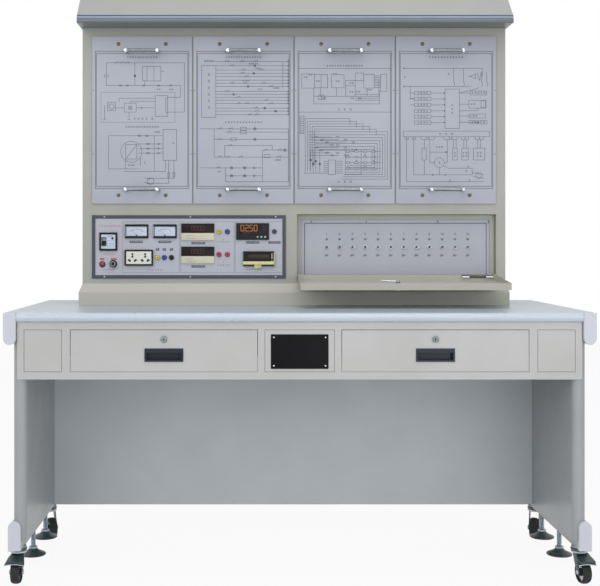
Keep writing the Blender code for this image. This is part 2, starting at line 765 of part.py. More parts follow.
def build_side_frame(name, side):
    """One hollow side frame: leg panel, rails, end caps, caster mounts and holes for the feet."""
    frame = place(name, prism_mesh(leg_plan(side, 0.0), "Z", LEG_BOTTOM, CARRY_TOP_Z),
                  BEIGE_ENAMEL)
    low = RAIL_BOTTOM_Z
    top_rail = rail_outline(side, RAIL_OUTER_X, low + CAP_STEP, CARRY_TOP_Z, True, CAP_STEP)
    front_cap = rail_outline(side, RAIL_OUTER_X, low, DESK_HEIGHT, True)
    rear_cap = rail_outline(side, RAIL_OUTER_X, low, CARRY_TOP_Z - CAP_STEP, True)
    foot_top = FOOT_BOTTOM + FOOT_HEIGHT
    foot_rail = rail_outline(side, FOOT_OUTER_X, FOOT_BOTTOM, foot_top - CAP_STEP, False, CAP_STEP)
    foot_cap = rail_outline(side, FOOT_OUTER_X, FOOT_BOTTOM - CAP_STEP, foot_top, False)
    foot_front = LEG_FRONT_Y - WELD
    foot_back = LEG_BACK_Y + WELD
    join(
        frame,
        prism_mesh(top_rail, "Y", BOARD_FRONT_Y - WELD, DESK_BACK_Y - WELD),
        cap_mesh(front_cap, DESK_FRONT_Y, BOARD_FRONT_Y),
        cap_mesh(rear_cap, DESK_BACK_Y - FOOT_CAP_THICK, DESK_BACK_Y),
        prism_mesh(foot_rail, "Y", foot_front, foot_back),
        cap_mesh(foot_cap, foot_front - FOOT_CAP_THICK, foot_front + WELD),
        cap_mesh(foot_cap, foot_back - WELD, foot_back + FOOT_CAP_THICK),
        caster_mount_mesh(side * FOOT_X, CASTER_FRONT_Y),
        caster_mount_mesh(side * FOOT_X, CASTER_REAR_Y),
    )
    wall = CAP_STEP + SHEET
    top_hollow = rail_outline(side, RAIL_OUTER_X, low + wall, CARRY_TOP_Z - SHEET, True, wall)
    foot_hollow = rail_outline(side, FOOT_OUTER_X, FOOT_BOTTOM + SHEET, foot_top - wall, False,
                               wall)
    cut(
        frame,
        prism_mesh(leg_plan(side, SHEET), "Z", LEG_BOTTOM + SHEET, CARRY_TOP_Z - SHEET),
        prism_mesh(top_hollow, "Y", BOARD_FRONT_Y + SHEET, DESK_BACK_Y - FOOT_CAP_THICK - SHEET),
        prism_mesh(foot_hollow, "Y", foot_front + SHEET, foot_back - SHEET),
    )
    for y in (LEVELER_FRONT_Y, LEVELER_REAR_Y):
        cut(frame, rod_mesh("Z", (side * LEVELER_X, y, FOOT_BOTTOM),
                            LEVELER_STEM_RADIUS + TURN_GAP, -OVERRUN, SHEET + WELD))
    return frame


def build_modesty_panel():
    """The sheet that closes the knee space, with its folded edges turned to the rear."""
    half = LEG_INNER_X - SEAT
    panel = place("modesty_panel", box_mesh(
        (-half, half), (MODESTY_Y, MODESTY_Y + MODESTY_RETURN), (LEG_BOTTOM, CARRY_TOP_Z),
    ), BEIGE_ENAMEL)
    cut(panel, box_mesh(
        (-half + SHEET, half - SHEET),
        (MODESTY_Y + SHEET, MODESTY_Y + MODESTY_RETURN + OVERRUN),
        (LEG_BOTTOM + SHEET, CARRY_TOP_Z - SHEET),
    ))


def frame_groove(x, z):
    """The shallow joint line round a fixed field of the apron, as a ring-shaped tool."""
    outer = box_mesh(x, (APRON_Y - OVERRUN, APRON_Y + GROOVE_DEPTH), z)
    ring = place("field_ring", outer, BEIGE_ENAMEL)
    inner_x = (x[0] + GROOVE_WIDTH, x[1] - GROOVE_WIDTH)
    inner_z = (z[0] + GROOVE_WIDTH, z[1] - GROOVE_WIDTH)
    core = bpy.data.objects.new("field_core", box_mesh(
        inner_x, (APRON_Y - OVERRUN * 2, APRON_Y + OVERRUN), inner_z))
    TOOLS.objects.link(core)
    modifier = ring.modifiers.new("core", "BOOLEAN")
    modifier.operation = "DIFFERENCE"
    modifier.object = core
    mesh = evaluated(ring)
    bpy.data.objects.remove(core, do_unlink=True)
    return mesh


def guide_mesh(side, drawer_side):
    """A drawer guide: a web hung from the desk top, with a channel turned towards the drawer."""
    centre = side * DRAWER_CENTRE_X
    web_near = centre + drawer_side * (DRAWER_WIDTH / 2 + WEB_GAP)
    web_far = web_near + drawer_side * SHEET
    lip = web_near - drawer_side * CHANNEL_REACH
    low = SLIDE_Z - SLIDE_HEIGHT / 2 - SEAT
    high = SLIDE_Z + SLIDE_HEIGHT / 2 + CHANNEL_HEADROOM
    section = [
        (web_far, CARRY_TOP_Z),
        (web_near, CARRY_TOP_Z),
        (web_near, high + SHEET),
        (lip, high + SHEET),
        (lip, high),
        (web_near, high),
        (web_near, low),
        (lip, low),
        (lip, low - SHEET),
        (web_far, low - SHEET),
    ]
    return prism_mesh(section, "Y", SLIDE_FRONT_Y, TRAY_BACK_Y + WEB_TAIL)


def guide_foot_mesh(side, drawer_side):
    """The tab that fixes a drawer guide to the back of the apron."""
    centre = side * DRAWER_CENTRE_X
    near = centre + drawer_side * (DRAWER_WIDTH / 2 + WEB_GAP)
    far = near + drawer_side * SHEET
    low = SLIDE_Z - SLIDE_HEIGHT / 2 - SEAT - SHEET
    return box_mesh(tuple(sorted((near, far))), (APRON_BACK_Y - WELD, SLIDE_FRONT_Y + WELD),
                    (low, CARRY_TOP_Z))


def build_apron():
    """The sheet apron with two drawer openings, fixed fields and the drawer guides behind it."""
    apron = place("apron", box_mesh(
        (-APRON_HALF_WIDTH, APRON_HALF_WIDTH), (APRON_Y, APRON_BACK_Y),
        (APRON_BOTTOM_Z, CARRY_TOP_Z),
    ), BEIGE_ENAMEL)
    flange_half = LEG_INNER_X - SEAT * 2
    flange_y = (APRON_BACK_Y - WELD, APRON_BACK_Y + APRON_FLANGE)
    join(
        apron,
        box_mesh((-flange_half, flange_half), flange_y, (CARRY_TOP_Z - SHEET, CARRY_TOP_Z)),
        box_mesh((-flange_half, flange_half), flange_y, (APRON_BOTTOM_Z, APRON_BOTTOM_Z + SHEET)),
    )
    for side in (-1, 1):
        for drawer_side in (-1, 1):
            join(apron, guide_mesh(side, drawer_side), guide_foot_mesh(side, drawer_side))
    for side in (-1, 1):
        centre = side * DRAWER_CENTRE_X
        cut(apron, box_mesh(
            (centre - DRAWER_WIDTH / 2, centre + DRAWER_WIDTH / 2),
            (APRON_Y - OVERRUN, APRON_BACK_Y + OVERRUN),
            (DRAWER_BOTTOM_Z, DRAWER_TOP_Z),
        ))
        outer = APRON_HALF_WIDTH - FIELD_EDGE_GAP
        field_x = side_span(side, outer - FIELD_WIDTH, outer)
        cut(apron, frame_groove(field_x, (DRAWER_BOTTOM_Z, DRAWER_TOP_Z)))
    half = PLATE_FIELD_WIDTH / 2
    cut(apron, frame_groove((-half, half), (DRAWER_BOTTOM_Z, DRAWER_TOP_Z)))


def build_drawer(name, side):
    """A sheet drawer: folded front, open tray and a slide on each side."""
    centre = side * DRAWER_CENTRE_X
    half = DRAWER_WIDTH / 2 - DRAWER_GAP
    low = DRAWER_BOTTOM_Z + DRAWER_GAP
    high = DRAWER_TOP_Z - DRAWER_GAP
    drawer = place(name, box_mesh(
        (centre - half, centre + half), (APRON_Y, APRON_Y + DRAWER_RETURN), (low, high),
    ), BEIGE_ENAMEL)
    cut(drawer, box_mesh(
        (centre - half + SHEET, centre + half - SHEET),
        (APRON_BACK_Y, APRON_Y + DRAWER_RETURN + OVERRUN),
        (low + SHEET, high + OVERRUN),
    ))
    tray = place("tray", box_mesh(
        (centre - TRAY_HALF_WIDTH, centre + TRAY_HALF_WIDTH),
        (APRON_BACK_Y - WELD, TRAY_BACK_Y), (TRAY_BOTTOM_Z, TRAY_TOP_Z),
    ), BEIGE_ENAMEL)
    cut(tray, box_mesh(
        (centre - TRAY_HALF_WIDTH + SHEET, centre + TRAY_HALF_WIDTH - SHEET),
        (APRON_BACK_Y - OVERRUN, TRAY_BACK_Y - SHEET),
        (TRAY_BOTTOM_Z + SHEET, TRAY_TOP_Z + OVERRUN),
    ))
    tools = [child for child in tray.children]
    tray_mesh = evaluated(tray)
    for old in tools:
        bpy.data.objects.remove(old, do_unlink=True)
    join(drawer, tray_mesh)
    for edge in (-1, 1):
        inner = centre + edge * (TRAY_HALF_WIDTH - WELD)
        outer = centre + edge * (TRAY_HALF_WIDTH + SLIDE_WIDTH)
        join(drawer, box_mesh(
            tuple(sorted((inner, outer))), (SLIDE_FRONT_Y, TRAY_BACK_Y),
            (SLIDE_Z - SLIDE_HEIGHT / 2, SLIDE_Z + SLIDE_HEIGHT / 2),
        ))
    pull_z = CARRY_TOP_Z - DRAWER_DROP - PULL_DROP
    hole_half_x = PULL_WIDTH / 2 - PULL_RIM
    hole_half_z = PULL_HEIGHT / 2 - PULL_RIM
    lock_z = DRAWER_TOP_Z - LOCK_DROP
    cut(
        drawer,
        box_mesh((centre - hole_half_x, centre + hole_half_x),
                 (APRON_Y - OVERRUN, APRON_BACK_Y + WELD),
                 (pull_z - hole_half_z, pull_z + hole_half_z)),
        rod_mesh("Y", (centre, APRON_Y, lock_z), LOCK_BARREL_RADIUS + TURN_GAP,
                 -OVERRUN, SHEET + WELD),
    )
    return drawer


def build_pull(name, side):
    """A recessed cup pull: rim on the drawer front, cup behind it, grip lip along the top."""
    centre = side * DRAWER_CENTRE_X
    pull_z = CARRY_TOP_Z - DRAWER_DROP - PULL_DROP
    rim_back = APRON_Y - SEAT
    rim_front = rim_back - PULL_PROUD
    half_x = PULL_WIDTH / 2
    half_z = PULL_HEIGHT / 2
    cup_x = half_x - PULL_RIM - SEAT
    cup_z = half_z - PULL_RIM - SEAT
    cup_back = APRON_BACK_Y + PULL_DEPTH
    pull = place(name, box_mesh((centre - half_x, centre + half_x), (rim_front, rim_back),
                                (pull_z - half_z, pull_z + half_z)), NAVY_PLASTIC)
    join(pull, box_mesh((centre - cup_x, centre + cup_x), (rim_back - WELD, cup_back),
                        (pull_z - cup_z, pull_z + cup_z)))
    cut(
        pull,
        box_mesh((centre - cup_x + PULL_WALL, centre + cup_x - PULL_WALL),
                 (rim_back, cup_back - PULL_WALL),
                 (pull_z - cup_z + PULL_WALL, pull_z + cup_z - PULL_WALL)),
        box_mesh((centre - cup_x + PULL_WALL, centre + cup_x - PULL_WALL),
                 (rim_front - OVERRUN, rim_back + WELD),
                 (pull_z - cup_z + PULL_WALL, pull_z + cup_z - PULL_LIP)),
    )
    return pull


def build_lock(name, side):
    """A cam lock: face, barrel through the drawer front, and the cam that turns up behind it."""
    centre = side * DRAWER_CENTRE_X
    lock_z = DRAWER_TOP_Z - LOCK_DROP
    face_back = APRON_Y - SEAT
    cam_front = APRON_BACK_Y + LATCH_CLEARANCE
    pivot = (centre, APRON_Y, lock_z)
    profile = [
        (0.0, cam_front + SHEET - APRON_Y),
        (LOCK_BARREL_RADIUS, cam_front + SHEET - APRON_Y),
        (LOCK_BARREL_RADIUS, -SEAT),
        (LOCK_FACE_RADIUS, -SEAT),
        (LOCK_FACE_RADIUS, -SEAT - LOCK_FACE_THICK),
        (0.0, -SEAT - LOCK_FACE_THICK),
    ]
    lock = place(name, turned_mesh(profile, "Y", pivot, ROUND_SIDES), CHROME, pivot)
    cam = arc((centre + LOCK_CAM_LENGTH - LOCK_CAM_WIDTH / 2, lock_z), LOCK_CAM_WIDTH / 2,
              -math.pi / 2, math.pi / 2, 6)
    cam += [(centre, lock_z + LOCK_CAM_WIDTH / 2), (centre, lock_z - LOCK_CAM_WIDTH / 2)]
    join(lock, prism_mesh(cam, "Y", cam_front, cam_front + SHEET))
    cut(lock, box_mesh(
        (centre - LOCK_KEY_WIDTH / 2, centre + LOCK_KEY_WIDTH / 2),
        (face_back - LOCK_FACE_THICK - OVERRUN, face_back - LOCK_FACE_THICK + LOCK_KEY_DEPTH),
        (lock_z - LOCK_KEY_LENGTH / 2, lock_z + LOCK_KEY_LENGTH / 2),
    ))
    return lock


def cheek_outline():
    """A caster cheek's (Y, Z) outline: wide at the crown, drawn in to the round axle boss."""
    boss = (CASTER_TRAIL, WHEEL_RADIUS)
    top = CROWN_BOTTOM_Z + WELD
    outline = [(-CHEEK_TOP_HALF, top)]
    outline += arc(boss, CHEEK_BOSS_RADIUS, math.radians(200.0), math.radians(385.0), 10)
    outline.append((CHEEK_TOP_HALF, top))
    return outline


def build_fork(name, holder, with_brake):
    """A pressed caster fork with its crown plate, two cheeks and the axle bolt."""
    fork = place(name, rod_mesh("Z", (0.0, 0.0, 0.0), CROWN_RADIUS, CROWN_BOTTOM_Z, CROWN_TOP_Z),
                 ZINC)
    for edge in (-1, 1):
        inner, outer = side_span(edge, CHEEK_INNER_X, CHEEK_OUTER_X)
        join(fork, prism_mesh(cheek_outline(), "X", inner, outer))
    bolt_end = CHEEK_OUTER_X + AXLE_HEAD_THICK
    profile = [
        (0.0, bolt_end),
        (AXLE_HEAD_RADIUS, bolt_end),
        (AXLE_HEAD_RADIUS, CHEEK_OUTER_X - WELD),
        (AXLE_RADIUS, CHEEK_OUTER_X - WELD),
        (AXLE_RADIUS, WELD - CHEEK_OUTER_X),
        (AXLE_HEAD_RADIUS, WELD - CHEEK_OUTER_X),
        (AXLE_HEAD_RADIUS, -bolt_end),
        (0.0, -bolt_end),
    ]
    join(fork, turned_mesh(profile, "X", (0.0, CASTER_TRAIL, WHEEL_RADIUS), SMALL_SIDES))
    cut(fork, rod_mesh("Z", (0.0, 0.0, CROWN_BOTTOM_Z), KINGPIN_RADIUS + TURN_GAP,
                       -OVERRUN, OVERRUN))
    if with_brake:
        cut(fork, rod_mesh("X", (0.0, BRAKE_PIVOT_Y, BRAKE_PIVOT_Z), BRAKE_PIN_RADIUS + TURN_GAP,
                           -CHEEK_OUTER_X - OVERRUN, CHEEK_OUTER_X + OVERRUN, SMALL_SIDES))
    fork.parent = holder
    return fork


def build_wheel(name, holder):
    """A caster wheel: crowned tread, rim, thin web and a hub with a bore for the axle."""
    half = WHEEL_WIDTH / 2
    bore = AXLE_RADIUS + TURN_GAP
    rim_radius = WHEEL_RADIUS - half / 2
    side = [
        (bore, half),
        (WHEEL_HUB_RADIUS, half),
        (WHEEL_HUB_RADIUS, half / 2),
        (rim_radius, half / 2),
        (rim_radius, half),
        (WHEEL_RADIUS - half / 4, half),
        (WHEEL_RADIUS, half / 2),
    ]
    profile = side + [(radius, -x) for radius, x in reversed(side)]
    pivot = (0.0, CASTER_TRAIL, WHEEL_RADIUS)
    wheel = place(name, turned_mesh(profile, "X", pivot, FINE_SIDES, closed=True), DARK_RUBBER,
                  pivot)
    wheel.parent = holder
    return wheel


def build_brake(name, holder):
    """A caster brake: sloping pedal, shoe over the tread and the pin that turns in the cheeks."""
    pivot = (0.0, BRAKE_PIVOT_Y, BRAKE_PIVOT_Z)
    half = BRAKE_THICK / 2
    tip = BRAKE_PIVOT_Y + BRAKE_LENGTH
    fall = BRAKE_DROP / BRAKE_LENGTH
    shoe_y = CASTER_TRAIL - BRAKE_SHOE_LENGTH / 2
    shoe_end = CASTER_TRAIL + BRAKE_SHOE_LENGTH / 2
    shoe_low = WHEEL_RADIUS * 2 + BRAKE_SHOE_GAP

    def slope(y, lift):
        return (y, BRAKE_PIVOT_Z - (y - BRAKE_PIVOT_Y) * fall + lift)

    arm = [
        slope(BRAKE_PIVOT_Y - BRAKE_THICK, half),
        slope(BRAKE_PIVOT_Y - BRAKE_THICK, -half),
        slope(shoe_y, -half),
        (shoe_y, shoe_low),
        (shoe_end, shoe_low),
        slope(shoe_end, -half),
        slope(tip - BRAKE_THICK, -half),
        slope(tip - BRAKE_THICK, half),
    ]
    start = BRAKE_PIVOT_Y + BRAKE_PEDAL_START
    pedal = [
        slope(start, half + SEAT),
        slope(start, -half),
        slope(tip - BRAKE_THICK, -half),
        slope(tip - BRAKE_THICK, -half - BRAKE_LIP),
        slope(tip, -half - BRAKE_LIP),
        slope(tip, half + SEAT),
    ]
    brake = place(name, prism_mesh(arm, "X", -BRAKE_HALF_WIDTH, BRAKE_HALF_WIDTH), ZINC, pivot)
    join(
        brake,
        prism_mesh(pedal, "X", -BRAKE_PEDAL_WIDTH / 2, BRAKE_PEDAL_WIDTH / 2),
        rod_mesh("X", pivot, BRAKE_PIN_RADIUS, -CHEEK_OUTER_X, CHEEK_OUTER_X, SMALL_SIDES),
    )
    brake.parent = holder
    return brake


def build_casters():
    """Four swivelling casters, the front two with brakes."""
    for corner, angle in SWIVEL_ANGLES.items():
        end, hand = corner.split("_")
        side = -1 if hand == "left" else 1
        y = CASTER_FRONT_Y if end == "front" else CASTER_REAR_Y
        holder = bpy.data.objects.new(f"swivel_{corner}", None)
        holder.location = (side * FOOT_X, y, 0.0)
        holder.rotation_euler = (0.0, 0.0, angle)
        RIG.objects.link(holder)
        build_fork(f"caster_fork_{corner}", holder, end == "front")
        build_wheel(f"caster_wheel_{corner}", holder)
        if end == "front":
            build_brake(f"caster_brake_{corner}", holder)


def build_levelling_feet():
    """Four screw feet, each a dished pad, lock nut and stem, raised clear of the floor."""
    base = LEVELER_CLEARANCE
    cone_top = base + LEVELER_RIM + LEVELER_CONE
    nut_top = cone_top + LEVELER_NUT_THICK
    stem_top = FOOT_BOTTOM + LEVELER_ENGAGEMENT
    profile = [
        (0.0, stem_top),
        (LEVELER_STEM_RADIUS, stem_top),
        (LEVELER_STEM_RADIUS, nut_top),
        (LEVELER_NUT_RADIUS, nut_top),
        (LEVELER_NUT_RADIUS, cone_top),
        (LEVELER_RADIUS, base + LEVELER_RIM),
        (LEVELER_RADIUS, base),
        (0.0, base),
    ]
    for hand, side in (("left", -1), ("right", 1)):
        for end, y in (("front", LEVELER_FRONT_Y), ("rear", LEVELER_REAR_Y)):
            pivot = (side * LEVELER_X, y, 0.0)
            place(f"leveling_foot_{end}_{hand}", turned_mesh(profile, "Z", pivot, ROUND_SIDES),
                  ZINC, pivot)


def build_cabinet_shell():
    """The cabinet's folded sheet body: plinth, face with its openings, switch recess, open back."""
    wide = CABINET_HALF + PLINTH_SIDE_STEP
    low_front = CABINET_FRONT_Y - PLINTH_FRONT_STEP
    back = CABINET_BACK_Y
    shell = place("cabinet_shell", loft_mesh([
        (wide, low_front, back, CABINET_BOTTOM_Z),
        (wide, low_front, back, PLINTH_TOP_Z),
        (CABINET_HALF, CABINET_FRONT_Y, back, BODY_BOTTOM_Z),
        (CABINET_HALF, CABINET_FRONT_Y, back, CABINET_TOP_Z),
    ]), BEIGE_ENAMEL)
    cavity_back = back - SHEET
    cut(shell, loft_mesh([
        (wide - SHEET, low_front + SHEET, cavity_back, CABINET_BOTTOM_Z + SHEET),
        (wide - SHEET, low_front + SHEET, cavity_back, PLINTH_TOP_Z - SHEET / 2),
        (CABINET_HALF - SHEET, CABINET_FRONT_Y + SHEET, cavity_back, BODY_BOTTOM_Z),
        (CABINET_HALF - SHEET, CABINET_FRONT_Y + SHEET, cavity_back, CABINET_TOP_Z - SHEET),
    ]))
    opening = CABINET_HALF - BACK_FLANGE
    cut(shell, box_mesh((-opening, opening), (cavity_back - OVERRUN, back + OVERRUN),
                        (CABINET_BOTTOM_Z + BACK_FLANGE, CABINET_TOP_Z - BACK_FLANGE)))
    join(shell, box_mesh(
        (RECESS_LEFT_X - SHEET, RECESS_RIGHT_X + SHEET),
        (CABINET_FRONT_Y + SHEET / 2, RECESS_FLOOR_Y + SHEET),
        (RECESS_BOTTOM_Z - SHEET, RECESS_TOP_Z + SHEET),
    ))
    cut(shell, box_mesh(
        (RECESS_LEFT_X, RECESS_RIGHT_X), (CABINET_FRONT_Y - OVERRUN, RECESS_FLOOR_Y),
        (RECESS_BOTTOM_Z, RECESS_TOP_Z),
    ))
    cut(shell, box_mesh(
        (RECESS_LEFT_X + RECESS_LEDGE, RECESS_RIGHT_X - RECESS_LEDGE),
        (RECESS_FLOOR_Y - WELD, RECESS_FLOOR_Y + OVERRUN),
        (RECESS_BOTTOM_Z + RECESS_LEDGE, RECESS_TOP_Z - RECESS_LEDGE),
    ))
    sweep = LATCH_ARM_LENGTH + LATCH_SLOT_MARGIN
    cut(shell, box_mesh(
        (LATCH_X - sweep, LATCH_X + LATCH_ARM_WIDTH / 2 + LATCH_SLOT_MARGIN),
        (LATCH_ARM_Y - LATCH_CLEARANCE * 2, LATCH_ARM_Y + LATCH_ARM_THICK + LATCH_CLEARANCE * 2),
        (RECESS_TOP_Z - WELD, RECESS_TOP_Z + SHEET + WELD),
    ))
    cut(shell, box_mesh(
        (PANEL_LEFT_X + PANEL_LAP, PANEL_RIGHT_X - PANEL_LAP),
        (CABINET_FRONT_Y - OVERRUN, CABINET_FRONT_Y + SHEET + WELD),
        (PANEL_BOTTOM_Z + PANEL_LAP, PANEL_TOP_Z - PANEL_LAP),
    ))
    for x in diagram_centres():
        half = DIAGRAM_PITCH / 2 - DIAGRAM_REBATE
        cut(shell, box_mesh(
            (x - half, x + half), (CABINET_FRONT_Y - OVERRUN, CABINET_FRONT_Y + SHEET + WELD),
            (DIAGRAM_BOTTOM_Z + DIAGRAM_REBATE, DIAGRAM_BOTTOM_Z + DIAGRAM_HEIGHT - DIAGRAM_REBATE),
        ))
    for x in hinge_centres():
        leaf_half = HINGE_KNUCKLE * 3 / 2
        join(shell, box_mesh(
            (x - leaf_half, x + leaf_half),
            (CABINET_FRONT_Y - HINGE_LEAF_THICK, CABINET_FRONT_Y + SHEET / 2),
            (HINGE_Z - HINGE_LEAF, HINGE_Z - HINGE_RADIUS - SEAT),
        ))
        for edge in (-1, 1):
            inner = x + edge * (HINGE_KNUCKLE / 2 + SEAT)
            outer = x + edge * leaf_half
            span = tuple(sorted((inner, outer)))
            join(shell,
                 box_mesh(span, (HINGE_Y, CABINET_FRONT_Y + SHEET / 2),
                          (HINGE_Z - HINGE_RADIUS - WELD, HINGE_Z)),
                 rod_mesh("X", (0.0, HINGE_Y, HINGE_Z), HINGE_RADIUS, *span, SMALL_SIDES))
        join(shell, rod_mesh("X", (0.0, HINGE_Y, HINGE_Z), HINGE_PIN_RADIUS,
                             x - leaf_half + WELD, x + leaf_half - WELD, TINY_SIDES))
    return shell


def build_cabinet_back():
    """The removable back cover with two banks of vent slots and a cable gland."""
    half = CABINET_HALF - BACK_COVER_MARGIN
    front = CABINET_BACK_Y + SEAT
    cover = place("cabinet_back", box_mesh(
        (-half, half), (front, front + SHEET),
        (CABINET_BOTTOM_Z + BACK_COVER_MARGIN, CABINET_TOP_Z - BACK_COVER_MARGIN),
    ), BEIGE_ENAMEL)
    for side in (-1, 1):
        for row in range(SLOT_COUNT):
            z = SLOT_TOP_Z - row * SLOT_PITCH
            cut(cover, box_mesh(
                (side * SLOT_X - SLOT_LENGTH / 2, side * SLOT_X + SLOT_LENGTH / 2),
                (front - OVERRUN, front + SHEET + OVERRUN),
                (z - SLOT_HEIGHT / 2, z + SLOT_HEIGHT / 2),
            ))
    place_of = (GLAND_X, front + SHEET, GLAND_Z)
    join(cover, rod_mesh("Y", place_of, GLAND_RADIUS, -WELD, GLAND_LENGTH, ROUND_SIDES))
    cut(cover, rod_mesh("Y", place_of, GLAND_BORE, -SHEET - OVERRUN, GLAND_LENGTH + OVERRUN,
                        SMALL_SIDES))
    return cover


def build_canopy():
    """The sheet hood: slanted brow with a blunt nose, open underneath over the cabinet."""
    low = CABINET_TOP_Z + SEAT
    nose_y = CABINET_FRONT_Y - CANOPY_OVERHANG
    brow_y = nose_y + CANOPY_SLOPE_DEPTH
    back = CABINET_BACK_Y
    half = CABINET_HALF + CANOPY_SIDE_LAP
    canopy = place("canopy", prism_mesh([
        (nose_y, low),
        (back, low),
        (back, RIG_HEIGHT),
        (brow_y, RIG_HEIGHT),
        (nose_y, low + CANOPY_NOSE),
    ], "X", -half, half), BEIGE_ENAMEL)
    ledge = CABINET_FRONT_Y + CANOPY_LEDGE
    cut(canopy, prism_mesh([
        (nose_y + SHEET, low + SHEET),
        (ledge, low + SHEET),
        (ledge, low - OVERRUN),
        (back - SHEET, low - OVERRUN),
        (back - SHEET, RIG_HEIGHT - SHEET),
        (brow_y + SHEET / 2, RIG_HEIGHT - SHEET),
        (nose_y + SHEET, low + CANOPY_NOSE - SHEET / 2),
    ], "X", -half + SHEET, half - SHEET))
    return canopy


def diagram_centres():
    """The X of each diagram panel's middle, left to right."""
    first = -DIAGRAM_PITCH * (DIAGRAM_COUNT - 1) / 2
    return [first + DIAGRAM_PITCH * i for i in range(DIAGRAM_COUNT)]


def handle_mesh(x, z, foot_y):
    """A bent-rod handle: two feet into the panel, round corners and a straight grip."""
    half = HANDLE_SPACING / 2
    grip_y = foot_y - HANDLE_STANDOFF
    bend_y = grip_y + HANDLE_BEND
    left = arc((-half + HANDLE_BEND, bend_y), HANDLE_BEND, math.pi, math.pi * 3 / 2, 3)
    right = arc((half - HANDLE_BEND, bend_y), HANDLE_BEND, math.pi * 3 / 2, math.pi * 2, 3)
    path = [(-half, foot_y + WELD)] + left + right + [(half, foot_y + WELD)]
    return tube_mesh([(x + u, v, z) for u, v in path], HANDLE_ROD_RADIUS, 2)


def build_diagram_panels():
    """Four removable diagram panels, each with a bent-rod handle near its top and its bottom."""
    back = CABINET_FRONT_Y - SEAT
    front = back - DIAGRAM_THICK
    half = (DIAGRAM_PITCH - DIAGRAM_GAP) / 2
    top = DIAGRAM_BOTTOM_Z + DIAGRAM_HEIGHT
    for number, x in enumerate(diagram_centres(), start=1):
        panel = place(f"diagram_panel_{number}", box_mesh(
            (x - half, x + half), (front, back), (DIAGRAM_BOTTOM_Z, top), DIAGRAM_BEVEL, 1,
        ), PALE_PRINT)
        join(panel, handle_mesh(x, top - HANDLE_TOP_INSET, front),
             handle_mesh(x, DIAGRAM_BOTTOM_Z + HANDLE_BOTTOM_INSET, front))


def panel_point(inset, drop):
    """X and Z of a point measured from the instrument panel's top left corner."""
    return PANEL_LEFT_X + inset, PANEL_TOP_Z - drop


def panel_box(inset, drop, width, height, y):
    """A box centred on a point of the instrument panel."""
    x, z = panel_point(inset, drop)
    return box_mesh((x - width / 2, x + width / 2), y, (z - height / 2, z + height / 2))


def jack_mesh(inset, drop):
    """A binding post's moulded collar with the bore for a plug."""
    x, z = panel_point(inset, drop)
    profile = [
        (0.0, WELD),
        (JACK_RADIUS, WELD),
        (JACK_RADIUS, -JACK_PROUD / 2),
        (JACK_NOSE_RADIUS, -JACK_PROUD),
        (JACK_BORE, -JACK_PROUD),
        (JACK_BORE, -JACK_PROUD + JACK_BORE_DEPTH),
        (0.0, -JACK_PROUD + JACK_BORE_DEPTH),
    ]
    return turned_mesh(profile, "Y", (x, PANEL_FACE_Y, z), SMALL_SIDES)


